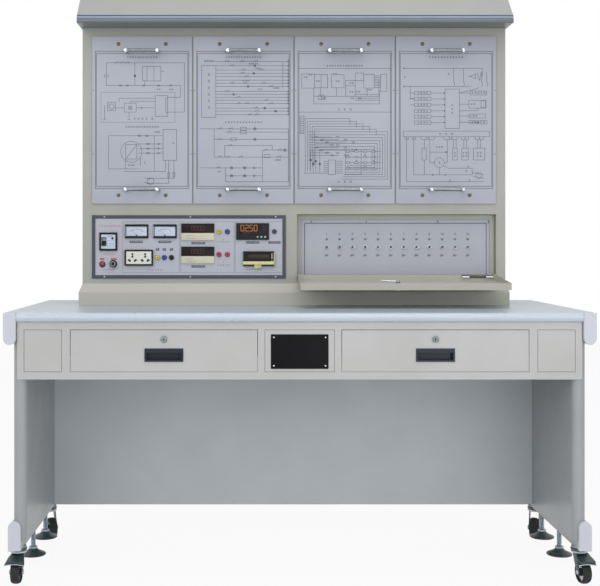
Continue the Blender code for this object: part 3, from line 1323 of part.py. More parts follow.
def build_instrument_panel():
    """The dark bezel and its inner plate, with the meters and binding posts fixed in it."""
    panel = place("instrument_panel", box_mesh(
        (PANEL_LEFT_X, PANEL_RIGHT_X), (PANEL_BEZEL_Y, PANEL_BACK_Y),
        (PANEL_BOTTOM_Z, PANEL_TOP_Z),
    ), SLATE_BEZEL)
    cut(panel, box_mesh(
        (PANEL_LEFT_X + PANEL_BEZEL, PANEL_RIGHT_X - PANEL_BEZEL),
        (PANEL_BEZEL_Y - OVERRUN, PANEL_FACE_Y),
        (PANEL_BOTTOM_Z + PANEL_BEZEL, PANEL_TOP_Z - PANEL_BEZEL),
    ))
    for inset in ANALOG_INSETS:
        x, z = panel_point(inset, ANALOG_DROP)
        front = PANEL_FACE_Y - ANALOG_PROUD
        join(panel,
             panel_box(inset, ANALOG_DROP, ANALOG_WIDTH, ANALOG_HEIGHT,
                       (front, PANEL_FACE_Y + WELD)),
             rod_mesh("Y", (x, PANEL_BACK_Y, z), ANALOG_BACK_RADIUS, -WELD, ANALOG_BACK_DEPTH))
        cut(panel, panel_box(inset, ANALOG_DROP, ANALOG_WIDTH - ANALOG_RIM * 2,
                             ANALOG_HEIGHT - ANALOG_RIM * 2, (front - OVERRUN, front + ANALOG_WELL)))
    for drop in DIGITAL_DROPS:
        front = PANEL_FACE_Y - DIGITAL_PROUD
        join(panel,
             panel_box(DIGITAL_INSET, drop, DIGITAL_WIDTH, DIGITAL_HEIGHT,
                       (front, PANEL_FACE_Y + WELD)),
             panel_box(DIGITAL_INSET, drop, DIGITAL_WIDTH - DIGITAL_BACK_MARGIN * 2,
                       DIGITAL_HEIGHT - DIGITAL_BACK_MARGIN * 2,
                       (PANEL_BACK_Y - WELD, PANEL_BACK_Y + DIGITAL_BACK_DEPTH)))
        window_drop = drop - (DIGITAL_HEIGHT - DIGITAL_WINDOW_HEIGHT) / 2 + DIGITAL_RIM
        cut(panel, panel_box(DIGITAL_INSET, window_drop, DIGITAL_WIDTH - DIGITAL_RIM * 2,
                             DIGITAL_WINDOW_HEIGHT, (front - OVERRUN, front + DIGITAL_WELL)))
    jacks = [(inset, JACK_ROW_DROP) for inset in JACK_ROW_INSETS]
    jacks += [(inset, drop) for drop in JACK_PAIR_DROPS for inset in JACK_PAIR_INSETS]
    jacks.append((JACK_SINGLE_INSET, JACK_SINGLE_DROP))
    for inset, drop in jacks:
        join(panel, jack_mesh(inset, drop))
    through = (PANEL_FACE_Y - OVERRUN, PANEL_BACK_Y + WELD)
    for inset, drop, width, height, margin in (
        (BREAKER_INSET, BREAKER_DROP, BREAKER_WIDTH, BREAKER_HEIGHT, BREAKER_BACK_MARGIN),
        (SOCKET_INSET, SOCKET_DROP, SOCKET_WIDTH, SOCKET_HEIGHT, SOCKET_BACK_MARGIN),
        (CONTROLLER_INSET, CONTROLLER_DROP, CONTROLLER_WIDTH, CONTROLLER_HEIGHT,
         CONTROLLER_BACK_MARGIN),
        (CONNECTOR_INSET, CONNECTOR_DROP, CONNECTOR_WIDTH, CONNECTOR_HEIGHT,
         CONNECTOR_BACK_MARGIN),
    ):
        reach = (margin - SEAT) * 2
        cut(panel, panel_box(inset, drop, width - reach, height - reach, through))
    for inset, drop, radius in (
        (FUSE_INSET, FUSE_DROP, FUSE_NECK_RADIUS),
        (LAMP_INSET, LAMP_DROP, LAMP_BACK_RADIUS),
    ):
        x, z = panel_point(inset, drop)
        cut(panel, rod_mesh("Y", (x, PANEL_BACK_Y, z), radius + TURN_GAP, -OVERRUN, OVERRUN))
    return panel


def fitting(name, inset, drop, width, height, face, margin, depth, material):
    """A panel fitting: a face plate seated on the panel and a narrower body behind it."""
    back = PANEL_FACE_Y - SEAT
    item = place(name, panel_box(inset, drop, width, height, (back - face, back)), material)
    join(item, panel_box(inset, drop, width - margin * 2, height - margin * 2,
                         (back - WELD, PANEL_BACK_Y + depth)))
    return item


def build_breaker():
    """The breaker's body with its lever well, the rocking lever and the sprung test button."""
    body = fitting("breaker_body", BREAKER_INSET, BREAKER_DROP, BREAKER_WIDTH, BREAKER_HEIGHT,
                   BREAKER_FACE_THICK, BREAKER_BACK_MARGIN, BREAKER_BACK_DEPTH, BLACK_PLASTIC)
    front = PANEL_FACE_Y - SEAT - BREAKER_FACE_THICK
    well_x, middle_z = panel_point(BREAKER_INSET + BREAKER_WELL_SHIFT, BREAKER_DROP)
    cut(body, box_mesh(
        (well_x - BREAKER_WELL_WIDTH / 2, well_x + BREAKER_WELL_WIDTH / 2),
        (front - OVERRUN, front + BREAKER_WELL_DEPTH),
        (middle_z - BREAKER_WELL_HEIGHT / 2, middle_z + BREAKER_WELL_HEIGHT / 2),
    ))
    pivot_y = front + BREAKER_WELL_DEPTH - BREAKER_PIN_RADIUS - BREAKER_LEVER_THICK / 4
    pivot = (well_x, pivot_y, middle_z)
    cut(body, rod_mesh("X", (well_x, pivot_y, middle_z), BREAKER_PIN_RADIUS / 2 + TURN_GAP,
                       -BREAKER_WELL_WIDTH / 2 - WELD, BREAKER_WELL_WIDTH / 2 + WELD, SMALL_SIDES))
    half = BREAKER_LEVER_WIDTH / 2
    lever_mesh = rod_mesh("X", pivot, BREAKER_PIN_RADIUS, -half, half, SMALL_SIDES)
    lever = place("breaker_lever", lever_mesh, BLACK_PLASTIC, pivot)
    blade = box_mesh((-half, half), (-BREAKER_LEVER_LENGTH, 0.0),
                     (-BREAKER_LEVER_THICK / 2, BREAKER_LEVER_THICK / 2), PULL_WALL / 2, 1)
    blade.transform(Matrix.Translation(Vector(pivot))
                    @ Matrix.Rotation(BREAKER_LEVER_TILT, 4, "X"))
    join(lever, blade, rod_mesh("X", pivot, BREAKER_PIN_RADIUS / 2,
                                -BREAKER_WELL_WIDTH / 2 - WELD / 2,
                                BREAKER_WELL_WIDTH / 2 + WELD / 2, SMALL_SIDES))
    button_x, _ = panel_point(BREAKER_INSET + BREAKER_BUTTON_SHIFT, BREAKER_DROP)
    centre = (button_x, front, middle_z + BREAKER_BUTTON_LIFT)
    cut(body, rod_mesh("Y", centre, BREAKER_BUTTON_RADIUS + TURN_GAP,
                       -OVERRUN, BREAKER_BUTTON_DEPTH, SMALL_SIDES))
    place("breaker_test_button", rod_mesh(
        "Y", centre, BREAKER_BUTTON_RADIUS, -BREAKER_BUTTON_PROUD,
        BREAKER_BUTTON_DEPTH - BREAKER_BUTTON_TRAVEL - SEAT, SMALL_SIDES), WHITE_PLASTIC, centre)


def build_fuse_and_lamp():
    """The fuse holder's turning cap and the red indicator lamp."""
    x, z = panel_point(FUSE_INSET, FUSE_DROP)
    pivot = (x, PANEL_FACE_Y, z)
    profile = [
        (0.0, FUSE_NECK_LENGTH),
        (FUSE_NECK_RADIUS, FUSE_NECK_LENGTH),
        (FUSE_NECK_RADIUS, -SEAT),
        (FUSE_RADIUS, -SEAT),
        (FUSE_RADIUS, -SEAT - FUSE_LENGTH / 3),
        (FUSE_RADIUS - FUSE_GRIP_TAPER, -SEAT - FUSE_LENGTH / 2),
        (FUSE_RADIUS - FUSE_GRIP_TAPER, -SEAT - FUSE_LENGTH),
        (0.0, -SEAT - FUSE_LENGTH),
    ]
    cap = place("fuse_cap", turned_mesh(profile, "Y", pivot, ROUND_SIDES), BLACK_PLASTIC, pivot)
    grip = FUSE_GRIP_TAPER
    cut(cap, box_mesh(
        (x - grip / 2, x + grip / 2),
        (PANEL_FACE_Y - SEAT - FUSE_LENGTH - OVERRUN, PANEL_FACE_Y - SEAT - FUSE_LENGTH + grip),
        (z - FUSE_RADIUS / 2, z + FUSE_RADIUS / 2),
    ))
    x, z = panel_point(LAMP_INSET, LAMP_DROP)
    dome = [(LAMP_RADIUS * math.cos(a), -SEAT - LAMP_RIM - LAMP_DOME * math.sin(a))
            for a in (0.0, math.pi / 6, math.pi / 3)]
    profile = [
        (0.0, LAMP_BACK_LENGTH),
        (LAMP_BACK_RADIUS, LAMP_BACK_LENGTH),
        (LAMP_BACK_RADIUS, -SEAT),
        (LAMP_RADIUS, -SEAT),
    ] + dome + [(0.0, -SEAT - LAMP_RIM - LAMP_DOME)]
    place("indicator_lamp", turned_mesh(profile, "Y", (x, PANEL_FACE_Y, z), ROUND_SIDES), RED_LENS)


def build_power_socket():
    """A double outlet: frame with two raised inserts, each with an earth slot over two live ones."""
    socket = fitting("power_socket", SOCKET_INSET, SOCKET_DROP, SOCKET_WIDTH, SOCKET_HEIGHT,
                     SOCKET_FACE_THICK, SOCKET_BACK_MARGIN, SOCKET_BACK_DEPTH, WHITE_PLASTIC)
    front = PANEL_FACE_Y - SEAT - SOCKET_FACE_THICK
    for edge in (-1, 1):
        inset = SOCKET_INSET + edge * SOCKET_INSERT_SHIFT
        join(socket, panel_box(inset, SOCKET_DROP, SOCKET_INSERT_WIDTH, SOCKET_INSERT_HEIGHT,
                               (front - SOCKET_INSERT_PROUD, front + WELD)))
        depth = (front - OVERRUN, front + SOCKET_SLOT_DEPTH)
        for hand in (-1, 1):
            cut(socket, panel_box(inset + hand * SOCKET_SLOT_SPREAD, SOCKET_DROP + SOCKET_SLOT_RISE,
                                  SOCKET_SLOT_WIDTH, SOCKET_SLOT_HEIGHT, depth))
        cut(socket, panel_box(inset, SOCKET_DROP - SOCKET_SLOT_RISE, SOCKET_SLOT_WIDTH,
                              SOCKET_SLOT_HEIGHT, depth))


def build_controller():
    """The temperature controller with its sunken display and three sprung keys."""
    body = fitting("controller", CONTROLLER_INSET, CONTROLLER_DROP, CONTROLLER_WIDTH,
                   CONTROLLER_HEIGHT, CONTROLLER_FACE_THICK, CONTROLLER_BACK_MARGIN,
                   CONTROLLER_BACK_DEPTH, BLACK_PLASTIC)
    front = PANEL_FACE_Y - SEAT - CONTROLLER_FACE_THICK
    cut(body, panel_box(CONTROLLER_INSET, CONTROLLER_DROP, CONTROLLER_WIDTH - CONTROLLER_RIM * 2,
                        CONTROLLER_HEIGHT - CONTROLLER_RIM * 2,
                        (front - OVERRUN, front + CONTROLLER_WELL)))
    face = front + CONTROLLER_WELL
    for number in range(KEY_COUNT):
        x, z = panel_point(CONTROLLER_INSET + KEY_SHIFT + number * KEY_PITCH,
                           CONTROLLER_DROP + KEY_DROP)
        centre = (x, face, z)
        cut(body, rod_mesh("Y", centre, KEY_RADIUS + TURN_GAP, -OVERRUN, KEY_DEPTH, SMALL_SIDES))
        place(f"controller_key_{number + 1}", rod_mesh(
            "Y", centre, KEY_RADIUS, -KEY_PROUD, KEY_DEPTH - KEY_TRAVEL - SEAT, SMALL_SIDES,
        ), NAVY_PLASTIC, centre)


def build_connector():
    """The multi-pin connector: housing with a long cavity and the locking bar under it."""
    body = fitting("connector", CONNECTOR_INSET, CONNECTOR_DROP, CONNECTOR_WIDTH, CONNECTOR_HEIGHT,
                   CONNECTOR_FACE_THICK, CONNECTOR_BACK_MARGIN, CONNECTOR_BACK_DEPTH,
                   BLACK_PLASTIC)
    front = PANEL_FACE_Y - SEAT - CONNECTOR_FACE_THICK
    cut(body, panel_box(CONNECTOR_INSET, CONNECTOR_DROP - CONNECTOR_CAVITY_LIFT,
                        CONNECTOR_CAVITY_WIDTH, CONNECTOR_CAVITY_HEIGHT,
                        (front - OVERRUN, front + CONNECTOR_CAVITY_DEPTH)))
    join(body, panel_box(CONNECTOR_INSET, CONNECTOR_DROP + CONNECTOR_BAR_DROP, CONNECTOR_WIDTH,
                         CONNECTOR_BAR_HEIGHT, (front - CONNECTOR_BAR_PROUD, front + WELD)))


def toggle_centres():
    """The X of each toggle switch, left to right."""
    first = RECESS_CENTRE_X + TOGGLE_SHIFT - TOGGLE_PITCH * (TOGGLE_COUNT - 1) / 2
    return [first + TOGGLE_PITCH * i for i in range(TOGGLE_COUNT)]


def build_switch_board():
    """The board in the recess with twelve threaded bushings and nuts, and a lever in each."""
    board = place("switch_board", box_mesh(
        (RECESS_LEFT_X + BOARD_EDGE_GAP, RECESS_RIGHT_X - BOARD_EDGE_GAP),
        (SWITCH_FACE_Y, SWITCH_FACE_Y + BOARD_PLATE_THICK),
        (RECESS_BOTTOM_Z + BOARD_EDGE_GAP, RECESS_TOP_Z - BOARD_EDGE_GAP),
    ), PALE_PRINT)
    pivot_y = SWITCH_FACE_Y - TOGGLE_BUSH_LENGTH + TOGGLE_PIVOT_DEPTH
    rise = TOGGLE_LENGTH
    ball = [(TOGGLE_BALL_RADIUS * math.cos(a), TOGGLE_BALL_RADIUS * math.sin(a))
            for a in (-math.pi / 4, 0.0, math.pi / 4)]
    profile = [(0.0, rise), (TOGGLE_TIP_RADIUS / 2, rise),
               (TOGGLE_TIP_RADIUS, rise - TOGGLE_TIP_RADIUS / 2),
               (TOGGLE_NECK_RADIUS, TOGGLE_PIVOT_DEPTH)] + list(reversed(ball))
    profile.append((0.0, -TOGGLE_BALL_RADIUS))
    for number, x in enumerate(toggle_centres(), start=1):
        join(board,
             rod_mesh("Y", (x, SWITCH_FACE_Y, TOGGLE_Z), TOGGLE_NUT_RADIUS, -TOGGLE_NUT_THICK,
                      WELD, 6),
             rod_mesh("Y", (x, SWITCH_FACE_Y, TOGGLE_Z), TOGGLE_BUSH_RADIUS, -TOGGLE_BUSH_LENGTH,
                      WELD, SMALL_SIDES))
        cut(board, rod_mesh("Y", (x, SWITCH_FACE_Y, TOGGLE_Z), TOGGLE_BORE_RADIUS,
                            -TOGGLE_BUSH_LENGTH - WELD, SEAT, SMALL_SIDES))
        mesh = turned_mesh(profile, "Z", (0.0, 0.0, 0.0), TINY_SIDES)
        pivot = Vector((x, pivot_y, TOGGLE_Z))
        mesh.transform(Matrix.Translation(pivot)
                       @ Matrix.Rotation(math.pi / 2 - TOGGLE_TILT, 4, "X"))
        place(f"toggle_{number:02d}", mesh, CHROME, pivot)


def hinge_centres():
    """The X of each flap hinge's middle."""
    return (RECESS_LEFT_X + HINGE_INSET, RECESS_RIGHT_X - HINGE_INSET)


def build_flap():
    """The drop-down flap as a rimmed pan, drawn closed and then turned open about its hinges."""
    pivot = (RECESS_CENTRE_X, HINGE_Y, HINGE_Z)
    x = (RECESS_LEFT_X + FLAP_SIDE_GAP, RECESS_RIGHT_X - FLAP_SIDE_GAP)
    front = CABINET_FRONT_Y
    flap = place("flap", box_mesh(x, (front, front + FLAP_RIM), (FLAP_BOTTOM_Z, FLAP_TOP_Z)),
                 BEIGE_ENAMEL, pivot)
    cut(flap, box_mesh(
        (x[0] + FLAP_SHEET, x[1] - FLAP_SHEET), (front + FLAP_SHEET, front + FLAP_RIM + OVERRUN),
        (FLAP_BOTTOM_Z + FLAP_SHEET, FLAP_TOP_Z - FLAP_SHEET),
    ))
    knuckle = HINGE_KNUCKLE / 2 - SEAT
    for middle in hinge_centres():
        span = (middle - knuckle, middle + knuckle)
        join(flap,
             prism_mesh([
                 (front - HINGE_LEAF_THICK, HINGE_Z),
                 (front - HINGE_LEAF_THICK, HINGE_Z + HINGE_LEAF),
                 (front + WELD, HINGE_Z + HINGE_LEAF),
                 (front + WELD, FLAP_BOTTOM_Z + SEAT),
                 (front - SEAT, FLAP_BOTTOM_Z + SEAT),
                 (front - SEAT, HINGE_Z),
             ], "X", *span),
             rod_mesh("X", (0.0, HINGE_Y, HINGE_Z), HINGE_RADIUS, *span, SMALL_SIDES))
        cut(flap, rod_mesh("X", (0.0, HINGE_Y, HINGE_Z), HINGE_PIN_RADIUS + TURN_GAP,
                           span[0] - WELD, span[1] + WELD, TINY_SIDES))
    cut(flap, rod_mesh("Y", (LATCH_X, front, LATCH_Z), LATCH_RADIUS + TURN_GAP, -OVERRUN,
                       FLAP_SHEET + WELD))
    latch_pivot = (LATCH_X, front, LATCH_Z)
    arm_start = LATCH_ARM_Y - front
    profile = [
        (0.0, arm_start + LATCH_ARM_THICK),
        (LATCH_RADIUS, arm_start + LATCH_ARM_THICK),
        (LATCH_RADIUS, -SEAT),
        (LATCH_KNOB_RADIUS, -SEAT),
        (LATCH_KNOB_RADIUS, -SEAT - LATCH_KNOB_THICK),
        (0.0, -SEAT - LATCH_KNOB_THICK),
    ]
    latch = place("flap_latch", turned_mesh(profile, "Y", latch_pivot, ROUND_SIDES), CHROME,
                  latch_pivot)
    tip = LATCH_X - LATCH_ARM_LENGTH + LATCH_ARM_WIDTH / 2
    arm = [(LATCH_X, LATCH_Z + LATCH_ARM_WIDTH / 2)]
    arm += arc((tip, LATCH_Z), LATCH_ARM_WIDTH / 2, math.pi / 2, math.pi * 3 / 2, 6)
    arm.append((LATCH_X, LATCH_Z - LATCH_ARM_WIDTH / 2))
    join(latch, prism_mesh(arm, "Y", LATCH_ARM_Y, LATCH_ARM_Y + LATCH_ARM_THICK))
    latch.parent = flap
    latch.matrix_parent_inverse = flap.matrix_basis.inverted()
    flap.rotation_euler = (FLAP_OPEN_ANGLE, 0.0, 0.0)


def smooth_round_pieces():
    """Shades round surfaces smooth and keeps the corners sharp."""
    for item in RIG.objects:
        if item.type == "MESH":
            item.data.shade_smooth()
            item.data.set_sharp_from_angle(angle=math.radians(30.0))


def main():
    """Builds the whole rig."""
    build_desk_top()
    build_side_frame("side_frame_left", -1)
    build_side_frame("side_frame_right", 1)
    build_modesty_panel()
    build_apron()
    for hand, side in (("left", -1), ("right", 1)):
        build_drawer(f"drawer_{hand}", side)
        build_pull(f"drawer_pull_{hand}", side)
        build_lock(f"drawer_lock_{hand}", side)
    build_casters()
    build_levelling_feet()
    build_cabinet_shell()
    build_cabinet_back()
    build_canopy()
    build_diagram_panels()
    build_instrument_panel()
    build_breaker()
    build_fuse_and_lamp()
    build_power_socket()
    build_controller()
    build_connector()
    build_switch_board()
    build_flap()
    smooth_round_pieces()


main()
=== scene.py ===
"""Dresses the household appliance training rig and sets the studio round it.

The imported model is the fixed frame. Each sub-assembly is a class that reads its place from the
frame, makes its own pieces as surfaces of points, and lets every piece ride on a body.
Lengths are in metres unless a name ends in mm.
"""

import json
import logging
import math
from dataclasses import dataclass
from enum import Enum
from typing import Iterable, Sequence

import bmesh
import bpy
import numpy as np
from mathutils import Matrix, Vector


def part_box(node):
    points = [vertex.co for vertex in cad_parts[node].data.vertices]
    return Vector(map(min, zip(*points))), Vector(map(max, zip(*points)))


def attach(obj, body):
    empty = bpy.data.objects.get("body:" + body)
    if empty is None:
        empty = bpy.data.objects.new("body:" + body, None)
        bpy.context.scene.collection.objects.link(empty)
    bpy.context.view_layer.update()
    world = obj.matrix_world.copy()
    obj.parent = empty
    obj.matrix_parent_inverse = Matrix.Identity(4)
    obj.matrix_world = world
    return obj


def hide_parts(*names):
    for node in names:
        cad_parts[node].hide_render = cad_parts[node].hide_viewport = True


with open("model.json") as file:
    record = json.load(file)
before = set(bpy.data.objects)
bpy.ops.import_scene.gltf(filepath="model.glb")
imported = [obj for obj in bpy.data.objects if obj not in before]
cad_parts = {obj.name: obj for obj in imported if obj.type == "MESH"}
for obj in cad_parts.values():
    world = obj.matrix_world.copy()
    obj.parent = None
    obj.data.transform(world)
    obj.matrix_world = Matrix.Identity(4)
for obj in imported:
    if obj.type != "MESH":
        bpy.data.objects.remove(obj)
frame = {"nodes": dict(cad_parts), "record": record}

LOG = logging.getLogger("training_rig")
JOINTS = {joint["name"]: joint for joint in frame["record"]["behaviour"]["joints"]}
MM = 0.001
INK_HEIGHT = 0.00012
INK_ROOT = -0.00005
Point = tuple[float, float, float]


# Surfaces of points


@dataclass(frozen=True)
class Mount:
    """A place to build on: an origin and the directions right, up and out of the surface."""

    origin: Point
    right: Point = (1.0, 0.0, 0.0)
    up: Point = (0.0, 0.0, 1.0)
    out: Point = (0.0, -1.0, 0.0)

    def lift(self, u: np.ndarray, v: np.ndarray, h: np.ndarray) -> np.ndarray:
        """Points u to the right, v up and h out of the origin."""
        basis = np.array([self.right, self.up, self.out])
        steps = np.stack(np.broadcast_arrays(u, v, h), axis=-1)
        return np.asarray(self.origin) + steps @ basis

    def at(self, u: float, v: float, h: float = 0.0) -> "Mount":
        """The same directions from an origin moved by u, v and h."""
        origin = tuple(float(c) for c in self.lift(np.array(u), np.array(v), np.array(h)))
        return Mount(origin, self.right, self.up, self.out)


@dataclass
class Form:
    """Closed surfaces: an (n, 3) array of points and the corner numbers of each face."""

    points: np.ndarray
    faces: list[list[int]]


def merge(forms: Iterable[Form]) -> Form:
    """Several forms as one, with the face numbers moved on."""
    forms = list(forms)
    starts = np.cumsum([0] + [len(form.points) for form in forms])
    faces = [[corner + int(start) for corner in face]
             for form, start in zip(forms, starts) for face in form.faces]
    return Form(np.concatenate([form.points for form in forms]), faces)


def grid(points: np.ndarray, loop_rows: bool = False) -> Form:
    """A surface over a table of points.

    Row i and column j is one point. Neighbours in both directions make a quad, and the last
    column joins the first. The first and last rows are joined too where loop_rows is set, and
    are otherwise closed by one flat face each.

    Args:
        points: array of shape (rows, columns, 3).
        loop_rows: joins the last row to the first.

    Returns:
        The closed form.
    """
    rows, columns = points.shape[:2]
    index = np.arange(rows * columns).reshape(rows, columns)
    ring = np.vstack([index, index[:1]]) if loop_rows else index
    low, high = ring[:-1], ring[1:]
    quads = np.stack([low, np.roll(low, -1, 1), np.roll(high, -1, 1), high], axis=-1)
    faces = quads.reshape(-1, 4).tolist()
    if not loop_rows:
        faces += [index[0][::-1].tolist(), index[-1].tolist()]
    return Form(points.reshape(-1, 3), faces)


def front_of(low: Sequence[float], high: Sequence[float]) -> tuple[Mount, float, float]:
    """The middle of a box's foremost plane, with the box's width and height."""
    middle = Mount(((low[0] + high[0]) / 2, low[1], (low[2] + high[2]) / 2))
    return middle, high[0] - low[0], high[2] - low[2]


def upright(x: float, y: float, z: float) -> Mount:
    """A mount that faces straight up."""
    return Mount((x, y, z), (1, 0, 0), (0, 1, 0), (0, 0, 1))


def corners_of(name: str) -> np.ndarray:
    """The corners of a node's mesh."""
    return np.array([tuple(v.co) for v in frame["nodes"][name].data.vertices])


def rounded_rectangle(width: float, height: float, radius: float,
                      steps: int = 3) -> tuple[np.ndarray, np.ndarray]:
    """The u and v of a rectangle whose corners are quarter circles: corner centre + radius."""
    turn = np.linspace(0.0, np.pi / 2, steps + 1)
    angle = (turn + np.arange(4)[:, None] * np.pi / 2).ravel()
    u = np.repeat([1, -1, -1, 1], steps + 1) * (width / 2 - radius)
    v = np.repeat([1, 1, -1, -1], steps + 1) * (height / 2 - radius)
    return u + radius * np.cos(angle), v + radius * np.sin(angle)


def layers(mount: Mount, size: tuple[float, float], radius: float,
           profile: Sequence[tuple[float, float]], loop: bool = False) -> Form:
    """A plate or a frame from stacked rounded rectangles.

    Each (inset, height) of the profile is a rounded rectangle drawn in by the inset and lifted
    out by the height. Without a loop it is a plate with flat faces, with one it is a frame.
    """
    rows = []
    for inset, height in profile:
        corner = max(radius - inset, radius / 10)
        u, v = rounded_rectangle(size[0] - inset * 2, size[1] - inset * 2, corner)
        rows.append(mount.lift(u, v, np.full_like(u, height)))
    return grid(np.stack(rows), loop)


def plate(mount: Mount, size: tuple[float, float], thick: float, radius: float = 0.001,
          soft: float = 0.0003, root: float = 0.0) -> Form:
    """A plate with rounded corners whose front edge is softened."""
    return layers(mount, size, radius,
                  [(0.0, root), (0.0, thick - soft), (soft / 3, thick - soft / 3), (soft, thick)])


def turned(mount: Mount, profile: Sequence[tuple[float, float]], sides: int = 24,
           loop: bool = False) -> Form:
    """A profile of (radius, height) turned round the mount's outward axis.

    A point of the surface is radius * (cos angle, sin angle) at its height.
    """
    table = np.array(profile)
    angle = np.arange(sides) * (2 * np.pi / sides)
    radius, height = table[:, :1], table[:, 1:]
    return grid(mount.lift(radius * np.cos(angle), radius * np.sin(angle), height), loop)


def rod(path: np.ndarray, radius: float | Sequence[float], sides: int = 16,
        across: Point = (0, 0, 1)) -> Form:
    """A circle carried along a path and kept square to it, closed at both ends.

    The radius is one value, or one for each point of the path, so that the rod tapers.
    """
    path = np.asarray(path, dtype=float)
    along = np.gradient(path, axis=0)
    along /= np.linalg.norm(along, axis=1, keepdims=True)
    side = np.cross(along, across)
    side /= np.linalg.norm(side, axis=1, keepdims=True)
    lift = np.cross(side, along)
    angle = (np.arange(sides) * (2 * np.pi / sides))[None, :, None]
    reach = np.broadcast_to(np.asarray(radius, dtype=float), (len(path),))[:, None, None]
    return grid(path[:, None] + reach * (np.cos(angle) * side[:, None]
                                         + np.sin(angle) * lift[:, None]))


def swept(outline: Sequence[tuple[float, float]], start: float, end: float) -> Form:
    """A closed outline of (Y, Z) points, turning left, drawn out along X from start to end."""
    table = np.array(outline)
    rows = [np.column_stack([np.full(len(table), x), table]) for x in (start, end)]
    return grid(np.stack(rows))


def strokes(mount: Mount, lines: np.ndarray, width: float, low: float = INK_ROOT,
            high: float = INK_HEIGHT) -> Form:
    """Flat bars along lines.

    Each row (u0, v0, u1, v1) is a bar of the width, lengthened by half of it at both ends, and
    standing from low to high out of the mount.
    """
    lines = np.asarray(lines, dtype=float)
    start, end = lines[:, :2], lines[:, 2:]
    along = end - start
    along /= np.maximum(np.linalg.norm(along, axis=1, keepdims=True), 1e-9)
    half = along * width / 2
    across = np.stack([-half[:, 1], half[:, 0]], axis=-1)
    start, end = start - half, end + half
    corners = np.stack([start - across, end - across, end + across, start + across], axis=1)
    points = mount.lift(corners[..., None, 0], corners[..., None, 1], np.array([low, high]))
    points = points.transpose(0, 2, 1, 3)
    box = np.array([[3, 2, 1, 0], [4, 5, 6, 7], [0, 1, 5, 4], [1, 2, 6, 5], [2, 3, 7, 6],
                    [3, 0, 4, 7]])
    faces = (box + np.arange(len(lines))[:, None, None] * 8).reshape(-1, 4).tolist()
    return Form(points.reshape(-1, 3), faces)


def turned_mount(mount: Mount, degrees: float) -> Mount:
    """The mount turned in its own plane."""
    angle = math.radians(degrees)
    right, up = np.array(mount.right), np.array(mount.up)
    new_right = right * math.cos(angle) + up * math.sin(angle)
    new_up = up * math.cos(angle) - right * math.sin(angle)
    return Mount(mount.origin, tuple(new_right), tuple(new_up), mount.out)


# Finishes


def linear(code: str) -> tuple[float, float, float, float]:
    """A colour given as sRGB hex, as linear red, green, blue and alpha."""
    parts = [int(code[i:i + 2], 16) / 255 for i in (1, 3, 5)]
    return (*[c / 12.92 if c <= 0.04045 else ((c + 0.055) / 1.055) ** 2.4 for c in parts], 1.0)


def add_node(tree: bpy.types.NodeTree, kind: str, settings: dict | None = None,
             inputs: dict | None = None) -> bpy.types.Node:
    """Adds a node, sets its properties, and fills or links its inputs.

    Args:
        tree: the node tree.
        kind: the node's type name without its prefix.
        settings: property names and values.
        inputs: socket names or numbers, each with a value or with the socket to link from.

    Returns:
        The new node.
    """
    made = tree.nodes.new(f"ShaderNode{kind}")
    for name, value in (settings or {}).items():
        setattr(made, name, value)
    for name, value in (inputs or {}).items():
        if isinstance(value, bpy.types.NodeSocket):
            tree.links.new(value, made.inputs[name])
        else:
            made.inputs[name].default_value = value
    return made


@dataclass(frozen=True)
class Finish:
    """A material with a fine grain, a slow drift of tone and a roughness that varies."""

    name: str
    colour: str
    drift: str
    roughness: float
    spread: float = 0.06
    grain_mm: float = 0.8
    drift_mm: float = 140.0
    relief_mm: float = 0.02
    metallic: float = 0.0
    coat: float = 0.0
    stretch: Point = (1.0, 1.0, 1.0)
    glow: float = 0.0
    specular: float = 0.5

    def tone(self, tree: bpy.types.NodeTree, drift: bpy.types.NodeSocket,
             place: bpy.types.NodeSocket) -> bpy.types.NodeSocket:
        """The colour of the surface: the drift noise mixes the two given colours."""
        share = add_node(tree, "MapRange", inputs={0: drift, 1: 0.3, 2: 0.7})
        mixed = add_node(tree, "Mix", {"data_type": "RGBA"},
                         {0: share.outputs[0], 6: linear(self.colour), 7: linear(self.drift)})
        return mixed.outputs[2]

    def material(self) -> bpy.types.Material:
        """The finished material, made once and kept under its name."""
        known = bpy.data.materials.get(self.name)
        if known:
            return known
        made = bpy.data.materials.new(self.name)
        made.use_nodes = True
        tree = made.node_tree
        shader = tree.nodes["Principled BSDF"]
        place = add_node(tree, "TexCoord").outputs["Object"]
        laid = add_node(tree, "Mapping", inputs={"Vector": place, "Scale": self.stretch})
        spot = laid.outputs[0]
        grain = add_node(tree, "TexNoise", inputs={
            "Vector": spot, "Scale": 1000 / self.grain_mm, "Detail": 2.0}).outputs["Fac"]
        drift = add_node(tree, "TexNoise", inputs={
            "Vector": spot, "Scale": 1000 / self.drift_mm, "Detail": 4.0}).outputs["Fac"]
        rough = add_node(tree, "MapRange", inputs={
            0: drift, 1: 0.25, 2: 0.75, 3: self.roughness - self.spread,
            4: self.roughness + self.spread})
        bump = add_node(tree, "Bump", inputs={
            "Strength": 0.6, "Distance": self.relief_mm * MM, "Height": grain})
        tone = self.tone(tree, drift, place)
        tree.links.new(tone, shader.inputs["Base Color"])
        tree.links.new(rough.outputs[0], shader.inputs["Roughness"])
        tree.links.new(bump.outputs[0], shader.inputs["Normal"])
        shader.inputs["Metallic"].default_value = self.metallic
        shader.inputs["Coat Weight"].default_value = self.coat
        shader.inputs["Specular IOR Level"].default_value = self.specular
        if self.glow > 0.0:
            shader.inputs["Emission Color"].default_value = linear(self.colour)
            shader.inputs["Emission Strength"].default_value = self.glow
        return made


